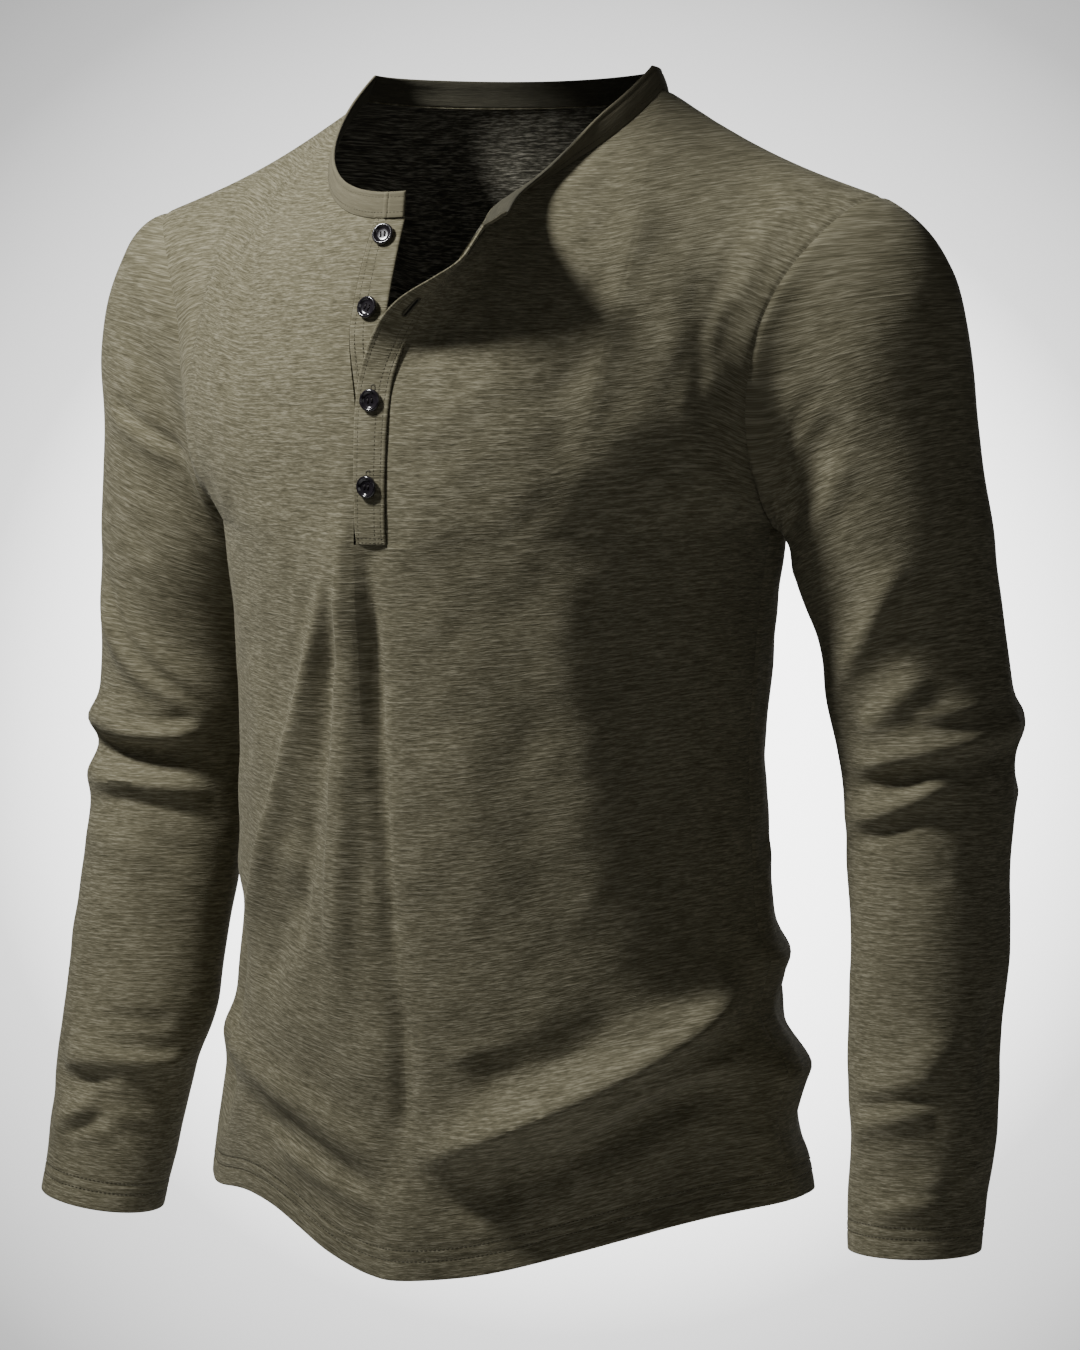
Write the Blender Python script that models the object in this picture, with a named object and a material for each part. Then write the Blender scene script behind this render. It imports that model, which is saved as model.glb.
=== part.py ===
"""A long-sleeved henley shirt in thin jersey, filled out as if worn, two of its four buttons undone.

Metres, +Z up. The wearer faces -Y and the wearer's left is +X. The origin lies midway between the
two points where a shoulder seam meets the neckband, which is where the shirt hangs from its wearer.

Every piece of cloth is a grid of points on one worn form. A grid is closed into a wall by moving its
points out and in along the cloth's own normals.
"""
import bmesh
import bpy
import numpy as np

# ---------------------------------------------------------------- cloth and seams
WALL = 0.0016                 # jersey with its give, as one wall
BAND_WALL = 0.0022            # doubled neckband
SEAM_GAP = 0.0003             # between two pieces at a seam
BAND_WIDTH = 0.015            # neckband, seam to top edge
PLACKET_WIDTH = 0.020         # both plackets
PLACKET_PROUD = 0.0010        # upper placket above the front
UNDER_DEPTH = 0.0012          # under placket below the front, where it is buttoned

# ---------------------------------------------------------------- neck and shoulder
NECK_HALF_WIDTH = 0.100       # shoulder seam to centre, at the neck seam
NECK_FRONT = (-0.122, -0.073)     # y, z of the front neck seam at the centre
NECK_BACK = (0.056, -0.005)       # y, z of the back neck seam at the centre
SHOULDER_TIP = (0.240, 0.000, -0.066)
SHOULDER_DIP = 0.0055         # the shoulder line hollows this much
NECK_SHARE = 0.47             # share of a half panel's columns that end at the neck
NECK_LEAN = 0.05              # the cloth leans in towards the neck between centre and shoulder
CORNER_ROUND = 0.15           # below the neck corner the cloth turns over this share of a half panel
# which way, and how strongly, the cloth arrives at the centre, the neck corner and the shoulder tip
FRONT_TOP_WAYS = ((0.0, 0.085, 0.150), (-0.15, 0.280, 0.230), (0.0, 0.250, 0.040))
BACK_TOP_WAYS = ((0.0, -0.110, 0.130), (-0.15, -0.210, 0.115), (0.0, -0.260, -0.042))
# beside the neck the cloth bridges forward and back over this much of a half panel
BRIDGE = (0.0070, -0.0080)
BRIDGE_SHARES = (0.36, 0.49, 0.84)
SHOULDER_TILT = 0.024         # the wearer's left shoulder is carried a little higher
TILT_Z = (-0.30, -0.08)
TILT_ROUND = 0.060
BAND_FRONT_WAY = (0.0, 0.15, 0.98)    # how the neckband stands at the front, side and back
BAND_SIDE_WAY = (-0.42, 0.0, 0.91)
BAND_BACK_WAY = (0.0, -0.25, 0.97)

# ---------------------------------------------------------------- grid sizes
PLACKET_SHARE = 0.0625        # share of a half panel's columns inside the placket
NECK_COLUMNS = 10             # placket edge to shoulder seam, front
SHOULDER_COLUMNS = 8          # along one shoulder seam
BACK_NECK_COLUMNS = 5         # centre back to shoulder seam
BODY_ROWS = 22                # hem to armpit
YOKE_ROWS = 12                # armpit to shoulder
CAP_ROWS = 6                  # armhole to upper arm
# rings from upper arm to cuff, closest at the elbow
ARM_ROWS = np.concatenate([
    np.linspace(0.00, 0.15, 4)[:-1],
    np.linspace(0.15, 0.45, 11)[:-1],
    np.linspace(0.45, 1.00, 11),
])
PLACKET_COLUMNS = 3
BAND_ROWS = 2

# Rings of the body from hem to armpit. level runs 0..1; the rest are metres: heights at the centre
# front, side seam and centre back, half width, depth forward and back of the side seam, side seam y.
BODY_COLUMNS = ("level", "z_front", "z_side", "z_back", "half_width", "front", "back", "side_y")
BODY_TABLE = (
    (0.000, -0.678, -0.636, -0.664, 0.190, 0.134, 0.142, -0.005),
    (0.120, -0.628, -0.590, -0.616, 0.184, 0.134, 0.138, -0.006),
    (0.210, -0.588, -0.555, -0.578, 0.180, 0.136, 0.132, -0.006),
    (0.300, -0.550, -0.520, -0.540, 0.173, 0.139, 0.124, -0.006),
    (0.390, -0.512, -0.485, -0.502, 0.168, 0.140, 0.119, -0.006),
    (0.530, -0.452, -0.430, -0.444, 0.164, 0.143, 0.113, -0.006),
    (0.660, -0.400, -0.380, -0.392, 0.162, 0.145, 0.111, -0.006),
    (0.790, -0.344, -0.328, -0.339, 0.165, 0.146, 0.116, -0.005),
    (0.895, -0.300, -0.288, -0.299, 0.168, 0.151, 0.122, -0.003),
    (1.000, -0.257, -0.247, -0.258, 0.174, 0.156, 0.122, -0.002),
)

HEM_LIFT = 0.0195             # the front hem rides up on the wearer's right
HEM_LIFT_ANGLE = 1.05         # between the centre and this angle round the body

# One armhole seam: armpit (0), up the front to the shoulder tip (1), down the back to the armpit (2).
# along, x, y, z
ARMHOLE_TABLE = (
    (0.00, 0.174, -0.002, -0.247),
    (0.14, 0.182, -0.031, -0.233),
    (0.29, 0.186, -0.054, -0.206),
    (0.45, 0.190, -0.064, -0.172),
    (0.63, 0.198, -0.058, -0.130),
    (0.80, 0.2155, -0.042, -0.095),
    (0.91, 0.232, -0.021, -0.073),
    (1.00, 0.240, 0.000, -0.066),
    (1.09, 0.234, 0.025, -0.074),
    (1.20, 0.219, 0.050, -0.096),
    (1.37, 0.204, 0.072, -0.130),
    (1.55, 0.195, 0.076, -0.170),
    (1.71, 0.190, 0.060, -0.205),
    (1.86, 0.183, 0.032, -0.232),
    (2.00, 0.174, -0.002, -0.247),
)

# The sleeve from upper arm (0) to cuff (1): middle of each ring, its radius across and fore and aft,
# and how much higher its outer side is than its middle.
SLEEVE_COLUMNS = ("along", "x", "y", "z", "across", "deep", "tilt")
SLEEVE_TABLE = (
    (0.000, 0.2400, 0.022, -0.262, 0.0545, 0.0560, 0.020),
    (0.130, 0.2485, 0.029, -0.313, 0.0527, 0.0540, 0.010),
    (0.240, 0.2535, 0.034, -0.357, 0.0520, 0.0540, 0.004),
    (0.330, 0.2575, 0.031, -0.391, 0.0495, 0.0505, 0.000),
    (0.420, 0.2620, 0.025, -0.426, 0.0474, 0.0482, 0.000),
    (0.590, 0.2680, 0.012, -0.494, 0.0452, 0.0460, 0.000),
    (0.760, 0.2720, -0.002, -0.562, 0.0425, 0.0435, 0.000),
    (0.890, 0.2755, -0.013, -0.613, 0.0400, 0.0410, 0.000),
    (1.000, 0.2780, -0.024, -0.654, 0.0370, 0.0380, 0.000),
)
UNDERARM_WAY = (0.70, 0.0, -0.71)     # the way the sleeve leaves the armpit
RIGHT_CUFF_DROP = 0.015       # the wearer's right arm hangs a little lower
RIGHT_CUFF_SLANT = 0.0065     # and its cuff lies lower on the side towards the body

# ---------------------------------------------------------------- the open neck
RIGHT_SHIFT = 0.0095          # how far the button side has slid off centre at the neck
RIGHT_SHIFT_Z = (-0.190, -0.130)
HINGE_LOW = (0.0065, -0.137, -0.197)      # the buttonhole side turns out along this line
HINGE_HIGH = (0.079, -0.019, -0.022)
HINGE_OUT = (0.27, -0.71, 0.29)           # roughly square to the chest there
HINGE_BOW = 0.044             # the chest rounds out past the straight line
HINGE_SWEEP = 0.0113          # and the line curves towards the wearer's left
FLAP_ANGLE = 2.32             # radians
FLAP_ROLL = 0.046             # cloth taken up by the turn
FLAP_GATHER = 0.16            # the flap's edge is drawn in this much
FLAP_RISE = 0.085             # distance along the hinge until it is fully turned
HINGE_END = 0.88              # the turn dies away past this share of the hinge
HINGE_FADE = 0.27
UNDER_RISE_Z = (-0.165, -0.135)   # the under placket comes up level with the front here

# ---------------------------------------------------------------- folds
# Each fold runs from its start past its bend to its end. On the body, across is metres round the
# body from the centre front (the side seams lie at 0.27) and z is the height on the smooth form. On
# a sleeve, turn goes round the arm (0 faces the body, 0.25 the front, 0.5 outwards). Lift is its
# height off the smooth form, below zero for a hollow, and width its reach to each side.
PANEL_HALF = 0.27
SLEEVE_ROUND = 0.30           # metres round a sleeve, to turn shares into lengths
# across, z, bend_across, bend_z, end_across, end_z, lift, width
BODY_FOLDS = (
    # long folds falling from the foot of the placket
    (-0.008, -0.255, -0.060, -0.368, -0.045, -0.548, 0.0048, 0.012),
    (-0.004, -0.275, -0.009, -0.412, 0.018, -0.580, -0.0045, 0.016),
    (-0.030, -0.262, -0.075, -0.386, -0.152, -0.518, 0.0048, 0.014),
    (-0.030, -0.300, -0.065, -0.420, -0.085, -0.530, -0.0035, 0.014),
    # where the chest turns to the side, and a faint pair in front of it
    (0.101, -0.140, 0.108, -0.290, 0.171, -0.490, 0.0040, 0.030),
    (0.100, -0.330, 0.112, -0.410, 0.122, -0.490, 0.0030, 0.014),
    (0.088, -0.330, 0.096, -0.400, 0.104, -0.470, -0.0025, 0.012),
    # the long swag over the lower front, both arms and its hollow
    (0.245, -0.500, 0.120, -0.552, 0.010, -0.612, 0.0085, 0.016),
    (0.270, -0.515, 0.165, -0.550, 0.085, -0.622, -0.0060, 0.014),
    (-0.168, -0.548, -0.065, -0.560, -0.003, -0.614, 0.0060, 0.014),
    (-0.125, -0.568, -0.070, -0.590, -0.025, -0.624, -0.0035, 0.012),
    (0.285, -0.560, 0.185, -0.542, 0.110, -0.600, 0.0042, 0.012),
    (-0.168, -0.592, -0.100, -0.608, -0.048, -0.642, 0.0035, 0.012),
    # the hem rolls forward at the middle
    (0.045, -0.600, 0.022, -0.645, 0.000, -0.740, 0.0060, 0.018),
    # bunches over the wearer's left side seam
    (0.235, -0.492, 0.305, -0.508, 0.385, -0.488, 0.0065, 0.013),
    (0.240, -0.525, 0.310, -0.540, 0.380, -0.522, -0.0055, 0.013),
    (0.230, -0.556, 0.305, -0.574, 0.390, -0.556, 0.0062, 0.014),
    (0.250, -0.592, 0.310, -0.606, 0.375, -0.592, -0.0045, 0.013),
    # the wearer's right side is drawn in above the hem, with one bunch
    (-0.178, -0.450, -0.185, -0.535, -0.172, -0.622, -0.0120, 0.030),
    (-0.235, -0.548, -0.180, -0.562, -0.125, -0.556, 0.0055, 0.013),
    # the back: two long falls, hollows under the shoulder blades and a swag over the seat
    (0.420, -0.150, 0.430, -0.300, 0.470, -0.470, 0.0045, 0.020),
    (0.395, -0.230, 0.400, -0.360, 0.430, -0.500, -0.0035, 0.018),
    (-0.410, -0.140, -0.425, -0.300, -0.480, -0.480, 0.0045, 0.020),
    (-0.385, -0.220, -0.390, -0.350, -0.420, -0.480, -0.0035, 0.018),
    (0.330, -0.500, 0.440, -0.560, 0.530, -0.585, 0.0060, 0.018),
    (-0.330, -0.505, -0.440, -0.560, -0.530, -0.592, 0.0060, 0.018),
    (0.345, -0.540, 0.440, -0.600, 0.520, -0.622, -0.0040, 0.015),
    (-0.330, -0.470, -0.400, -0.500, -0.470, -0.490, 0.0045, 0.016),
)

# turn, z, bend_turn, bend_z, end_turn, end_z, lift, width
LEFT_SLEEVE_FOLDS = (
    # from the front of the armhole down towards the elbow
    (0.340, -0.255, 0.270, -0.300, 0.130, -0.352, 0.0050, 0.013),
    (0.350, -0.325, 0.280, -0.350, 0.190, -0.368, 0.0040, 0.011),
    # inside and front of the elbow
    (0.640, -0.359, 0.400, -0.362, 0.120, -0.386, 0.0068, 0.011),
    (0.600, -0.372, 0.380, -0.380, 0.160, -0.398, -0.0045, 0.009),
    (0.480, -0.372, 0.330, -0.400, 0.060, -0.418, 0.0060, 0.011),
    (0.560, -0.328, 0.430, -0.346, 0.290, -0.356, 0.0035, 0.010),
    # behind the elbow
    (0.540, -0.357, 0.680, -0.359, 0.860, -0.403, 0.0060, 0.013),
    (0.560, -0.395, 0.700, -0.405, 0.900, -0.430, 0.0050, 0.013),
    (0.580, -0.372, 0.720, -0.378, 0.860, -0.412, -0.0040, 0.011),
    # forearm
    (0.400, -0.525, 0.320, -0.560, 0.120, -0.564, 0.0045, 0.012),
    (0.340, -0.568, 0.230, -0.582, 0.110, -0.588, 0.0040, 0.010),
    (0.400, -0.612, 0.290, -0.626, 0.180, -0.632, 0.0035, 0.010),
    (0.520, -0.500, 0.470, -0.545, 0.500, -0.590, -0.0040, 0.012),
    (0.640, -0.520, 0.760, -0.548, 0.900, -0.540, 0.0040, 0.013),
)

# turn, z, bend_turn, bend_z, end_turn, end_z, lift, width
RIGHT_SLEEVE_FOLDS = (
    (0.400, -0.285, 0.270, -0.335, 0.060, -0.372, 0.0050, 0.012),
    # elbow: a ridge, a hollow and a second ridge round the inside
    (0.560, -0.379, 0.330, -0.372, 0.060, -0.384, 0.0068, 0.011),
    (0.500, -0.388, 0.250, -0.392, 0.080, -0.404, -0.0045, 0.009),
    (0.520, -0.414, 0.260, -0.404, 0.020, -0.428, 0.0058, 0.011),
    (0.540, -0.379, 0.680, -0.377, 0.850, -0.403, 0.0062, 0.013),
    (0.560, -0.408, 0.700, -0.412, 0.880, -0.440, 0.0048, 0.013),
    (0.560, -0.392, 0.700, -0.394, 0.860, -0.420, -0.0038, 0.011),
    (0.400, -0.440, 0.260, -0.452, 0.120, -0.458, 0.0030, 0.012),
    # the forearm is fuller towards the body
    (0.060, -0.390, 0.000, -0.500, -0.020, -0.610, 0.0090, 0.034),
    # wrist
    (0.350, -0.572, 0.190, -0.588, -0.040, -0.578, 0.0042, 0.011),
    (0.380, -0.588, 0.260, -0.596, 0.140, -0.606, -0.0030, 0.009),
    (0.200, -0.605, 0.280, -0.615, 0.360, -0.628, 0.0035, 0.010),
    (0.620, -0.540, 0.760, -0.560, 0.900, -0.552, 0.0040, 0.013),
)
FOLD_STEPS = 14

# ---------------------------------------------------------------- buttons
BUTTON_LIFT = 0.0004
BUTTON_SIDES = 20
# radius and height of each turned ring, back to front
BUTTON_PROFILE = (
    (0.0052, 0.0000),
    (0.0065, 0.0009),
    (0.0064, 0.0021),
    (0.0056, 0.0028),
    (0.0046, 0.0026),
    (0.0034, 0.0016),
)
BUTTONS_OPEN = (-0.083, -0.124)       # heights of the two undone buttons
BUTTONS_CLOSED = (-0.176, -0.224)     # heights of the two fastened ones


def ease(value):
    """0 to 1 with level ends."""
    value = np.clip(value, 0.0, 1.0)
    return value * value * (3.0 - 2.0 * value)


def unit(vectors):
    """The same ways, each of length one."""
    length = np.linalg.norm(vectors, axis=-1, keepdims=True)
    return vectors / np.maximum(length, 1e-12)


def read_table(table, at):
    """A smooth curve through a table's rows; the first column is the key."""
    rows = np.array(table, dtype=float)
    keys = rows[:, 0]
    values = rows[:, 1:]
    slopes = np.gradient(values, keys, axis=0)
    at = np.asarray(at, dtype=float)
    span = np.clip(np.searchsorted(keys, at, side="right") - 1, 0, len(keys) - 2)
    width = keys[span + 1] - keys[span]
    t = ((at - keys[span]) / width)[..., None]
    width = width[..., None]
    start = values[span] * (1 + 2 * t) * (1 - t) ** 2 + slopes[span] * width * t * (1 - t) ** 2
    end = values[span + 1] * t * t * (3 - 2 * t) + slopes[span + 1] * width * t * t * (t - 1)
    return start + end


def tilt_shoulders(points):
    """Lift the wearer's left shoulder, starting softly at the centre."""
    low, high = TILT_Z
    across = (points[..., 0] + np.hypot(points[..., 0], TILT_ROUND)) / 2
    lifted = points.copy()
    lifted[..., 2] += SHOULDER_TILT * across * ease((points[..., 2] - low) / (high - low))
    return lifted


def hermite(start, start_way, end, end_way, t):
    """A curve from start to end that leaves and arrives along the given ways."""
    t = np.asarray(t)[..., None]
    return (
        start * (1 + 2 * t) * (1 - t) ** 2
        + start_way * t * (1 - t) ** 2
        + end * t * t * (3 - 2 * t)
        + end_way * t * t * (t - 1)
    )


# ---------------------------------------------------------------- the worn body
def column_angle(share):
    """Angle round the body, 0 at the centre and a quarter turn at the side seam."""
    edge = np.arcsin(PLACKET_WIDTH / 2 / BODY_TABLE[-1][4])
    inside = edge * share / PLACKET_SHARE
    outside = edge + (np.pi / 2 - edge) * (share - PLACKET_SHARE) / (1 - PLACKET_SHARE)
    return np.where(share < PLACKET_SHARE, inside, outside)


def body_point(u, level, front):
    """A point of the body below the armpits; u runs -1..1 from side seam to side seam."""
    row = dict(zip(BODY_COLUMNS[1:], np.moveaxis(read_table(BODY_TABLE, level), -1, 0)))
    angle = column_angle(np.abs(u))
    across = np.sin(angle)
    ahead = np.cos(angle)
    depth = -row["front"] if front else row["back"]
    z_middle = row["z_front"] if front else row["z_back"]
    x = np.sign(u) * row["half_width"] * across
    y = row["side_y"] + depth * ahead
    z = row["z_side"] + (z_middle - row["z_side"]) * ahead ** 3
    if front:
        lift = np.where((u < 0) & (angle < HEM_LIFT_ANGLE), np.sin(np.pi * angle / HEM_LIFT_ANGLE) ** 2, 0.0)
        lift = lift * (1 - ease(np.asarray(level) / 0.45))
        z = z + HEM_LIFT * lift
    return np.stack(np.broadcast_arrays(x, y, z), axis=-1)


def top_edge(u, front):
    """The neck seam and then the shoulder seam, for the upper end of each column."""
    share = np.abs(u)
    edge = np.arcsin(PLACKET_WIDTH / 2 / NECK_HALF_WIDTH)
    inside = edge * share / PLACKET_SHARE
    outside = edge + (np.pi / 2 - edge) * (share - PLACKET_SHARE) / (NECK_SHARE - PLACKET_SHARE)
    angle = np.clip(np.where(share < PLACKET_SHARE, inside, outside), 0.0, np.pi / 2)
    y_middle, z_middle = NECK_FRONT if front else NECK_BACK
    neck = np.stack([NECK_HALF_WIDTH * np.sin(angle), y_middle * np.cos(angle),
                     z_middle * np.cos(angle)], axis=-1)
    along = np.clip((share - NECK_SHARE) / (1 - NECK_SHARE), 0.0, 1.0)
    tip = np.array(SHOULDER_TIP)
    high = np.array((NECK_HALF_WIDTH, 0.0, 0.0))
    shoulder = high + (tip - high) * along[..., None]
    shoulder[..., 2] -= SHOULDER_DIP * np.sin(np.pi * along)
    point = np.where((share <= NECK_SHARE)[..., None], neck, shoulder)
    point[..., 0] *= np.sign(u)
    return point


def soft_top_edge(u, t, front):
    """The top edge as the cloth below it feels it: the neck corner only sharpens near the seam."""
    share = np.abs(u)
    window = CORNER_ROUND * ease((share - PLACKET_SHARE) / 0.2) * ease((1 - share) / 0.3)
    steps = np.linspace(-1.0, 1.0, 13)
    weights = np.cos(steps * np.pi / 2 * 0.95) ** 2
    rounded = sum(weight * top_edge(np.sign(u) * (share + step * window), front)
                  for step, weight in zip(steps, weights / weights.sum()))
    sharp = ease((t - 0.72) / 0.28)[..., None]
    return top_edge(u, front) * sharp + rounded * (1 - sharp)


def yoke_point(u, t, front):
    """A point above the armpits; t runs 0..1 from the armpit ring to the neck or shoulder."""
    share = np.abs(u)
    side = np.sign(u)
    low = body_point(u, np.ones_like(u), front)
    below = body_point(u, np.full_like(u, 0.98), front)
    low_way = unit(low - below) * (0.20 if front else 0.21)
    high = soft_top_edge(u, t, front)
    ways = np.array(FRONT_TOP_WAYS if front else BACK_TOP_WAYS)
    turn = (ease(share / NECK_SHARE) ** 1.6)[..., None]
    spread = ease((share - NECK_SHARE) / (1 - NECK_SHARE))[..., None]
    high_way = ways[0] + (ways[1] - ways[0]) * turn + (ways[2] - ways[1]) * spread
    shoulder_way = ways[2]
    high_way[..., 0] *= side
    high_way[..., 0] -= side * NECK_LEAN * np.sin(np.pi * np.clip(share / NECK_SHARE, 0.0, 1.0)) ** 2
    point = hermite(low, low_way, high, high_way, t)
    # the outer columns are drawn over to the armhole seam
    seam = read_table(ARMHOLE_TABLE, t if front else 2 - t)
    one = np.ones_like(share)
    edge = hermite(body_point(one, one, front), unit(
        body_point(one, one, front) - body_point(one, one * 0.98, front)) * (0.20 if front else 0.21),
        top_edge(one, front), np.broadcast_to(shoulder_way, point.shape), t)
    pull = (seam - edge) * (ease((share - 0.30) / 0.70) ** 1.5)[..., None]
    pull[..., 0] *= side
    start, peak, end = BRIDGE_SHARES
    bridge = ease((share - start) / (peak - start)) * (1 - ease((share - peak) / (end - peak)))
    pull[..., 1] -= BRIDGE[0 if front else 1] * bridge * np.sin(np.pi * np.clip(t, 0.0, 1.0)) ** 0.7
    return point + pull


def front_point(u, level):
    """level 0..1 is hem to armpit, 1..2 is armpit to neck or shoulder."""
    low = body_point(u, np.clip(level, 0.0, 1.0), True)
    high = yoke_point(u, np.clip(level - 1.0, 0.0, 1.0), True)
    return np.where((level <= 1.0)[..., None], low, high)


def back_point(u, level):
    """The same for the back."""
    low = body_point(u, np.clip(level, 0.0, 1.0), False)
    high = yoke_point(u, np.clip(level - 1.0, 0.0, 1.0), False)
    return np.where((level <= 1.0)[..., None], low, high)


# ---------------------------------------------------------------- the open neck
def slide_button_side(points):
    """The wearer's right front has slid a little way off the centre above the third button."""
    low, high = RIGHT_SHIFT_Z
    rise = ease((points[..., 2] - low) / (high - low))
    fade = 1 - ease((np.abs(points[..., 0]) - 0.010) / 0.085)
    ahead = ease((-0.02 - points[..., 1]) / 0.06)
    moved = points.copy()
    moved[..., 0] -= RIGHT_SHIFT * rise * fade * ahead
    return moved


def turn_out_flap(points):
    """The wearer's left front rolls outwards along a line from the third button to the neck."""
    foot = np.array(HINGE_LOW)
    line = np.array(HINGE_HIGH) - foot
    reach = np.linalg.norm(line)
    along_way = line / reach
    out_way = np.array(HINGE_OUT)
    out_way = unit(out_way - along_way * (out_way @ along_way))
    in_way = np.cross(along_way, out_way)
    if in_way[2] < 0:
        in_way = -in_way
    offset = points - foot
    along = offset @ along_way
    share = along / reach
    bow = 4 * share * (1 - share)
    bend = (bow + np.hypot(bow, 0.25)) / 2
    height = offset @ out_way - HINGE_BOW * bend
    beyond = offset @ in_way + HINGE_SWEEP * bend
    angle = FLAP_ANGLE * ease(along / FLAP_RISE) * (1 - ease((share - HINGE_END) / HINGE_FADE))
    steps = 16
    across = np.zeros_like(beyond)
    up = np.zeros_like(beyond)
    length = np.clip(beyond, 0.0, None)
    length = length * (1 - FLAP_GATHER * angle / FLAP_ANGLE * ease(length / 0.06))
    for step in range(steps):
        here = angle * ease(length * (step + 0.5) / steps / FLAP_ROLL)
        across = across + np.cos(here) * length / steps
        up = up + np.sin(here) * length / steps
    last = angle * ease(length / FLAP_ROLL)
    shift_in = across - np.clip(beyond, 0.0, None) - height * np.sin(last)
    shift_out = up + height * (np.cos(last) - 1)
    return points + shift_in[..., None] * in_way + shift_out[..., None] * out_way


# ---------------------------------------------------------------- sleeves
def sleeve_ring(turn, along):
    """A ring of the sleeve below the upper arm; turn 0 faces the body, 0.25 the front."""
    row = dict(zip(SLEEVE_COLUMNS[1:], np.moveaxis(read_table(SLEEVE_TABLE, along), -1, 0)))
    angle = 2 * np.pi * turn
    x = row["x"] - row["across"] * np.cos(angle)
    y = row["y"] - row["deep"] * np.sin(angle)
    z = row["z"] - row["tilt"] * np.cos(angle)
    return np.stack(np.broadcast_arrays(x, y, z), axis=-1)


def sleeve_grid(armhole, leaving):
    """Rings from the armhole to the cuff, as (rows, columns, 3) for the wearer's left."""
    columns = armhole.shape[0]
    turn = np.arange(columns) / columns
    rows = []
    first = sleeve_ring(turn, np.zeros(columns))
    arm_way = unit(sleeve_ring(turn, np.full(columns, 0.01)) - first)
    reach = np.linalg.norm(first - armhole, axis=1)[:, None]
    for step in range(CAP_ROWS):
        t = np.full(columns, step / CAP_ROWS)
        rows.append(hermite(armhole, leaving * reach * 1.05, first, arm_way * reach * 1.15, t))
    for along in ARM_ROWS:
        rows.append(sleeve_ring(turn, np.full(columns, along)))
    return np.array(rows)


# ---------------------------------------------------------------- folds
def fold_lift(across, z, folds, around=None):
    """Height of all folds at points of the cloth; around is the length of a closed ring."""
    total = np.zeros_like(across)
    t = np.linspace(0.0, 1.0, FOLD_STEPS + 1)[:, None]
    for *path, lift, width in folds:
        start, bend, end = np.array(path).reshape(3, 2)
        curve = start * (1 - t) ** 2 + bend * 2 * t * (1 - t) + end * t ** 2
        nearest = np.full_like(across, np.inf)
        place = np.zeros_like(across)
        for step in range(FOLD_STEPS):
            first = curve[step]
            way = curve[step + 1] - first
            side = across - first[0]
            if around:
                side = (side + around / 2) % around - around / 2
            rise = z - first[1]
            part = np.clip((side * way[0] + rise * way[1]) / (way @ way), 0.0, 1.0)
            gap = (side - part * way[0]) ** 2 + (rise - part * way[1]) ** 2
            closer = gap < nearest
            nearest = np.where(closer, gap, nearest)
            place = np.where(closer, (step + part) / FOLD_STEPS, place)
        ends = ease(place / 0.3) * ease((1 - place) / 0.3)
        total = total + lift * ends * np.exp(-nearest / width ** 2)
    return total


def fold_body(piece, u, smooth, front):
    """Raise the body folds; the back carries on from the front round the side seams."""
    across = u * PANEL_HALF if front else np.sign(u) * (2 - np.abs(u)) * PANEL_HALF
    piece.points = piece.points + piece.normals * fold_lift(across, smooth[..., 2], BODY_FOLDS)[..., None]
    piece.normals = piece.grid_normals()


def fold_sleeve(piece, folds):
    """Raise the sleeve's folds, all of them clear of the armhole seam."""
    columns = piece.points.shape[1]
    turn = np.broadcast_to(np.arange(columns) / columns, piece.points.shape[:2])
    turn_lengths = [
        [value * SLEEVE_ROUND if place in (0, 2, 4) else value for place, value in enumerate(row)]
        for row in folds
    ]
    lift = fold_lift(turn * SLEEVE_ROUND, piece.points[..., 2], turn_lengths, SLEEVE_ROUND)
    lift[0] = 0.0
    piece.points = piece.points + piece.normals * lift[..., None]
    piece.normals = piece.grid_normals()


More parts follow.
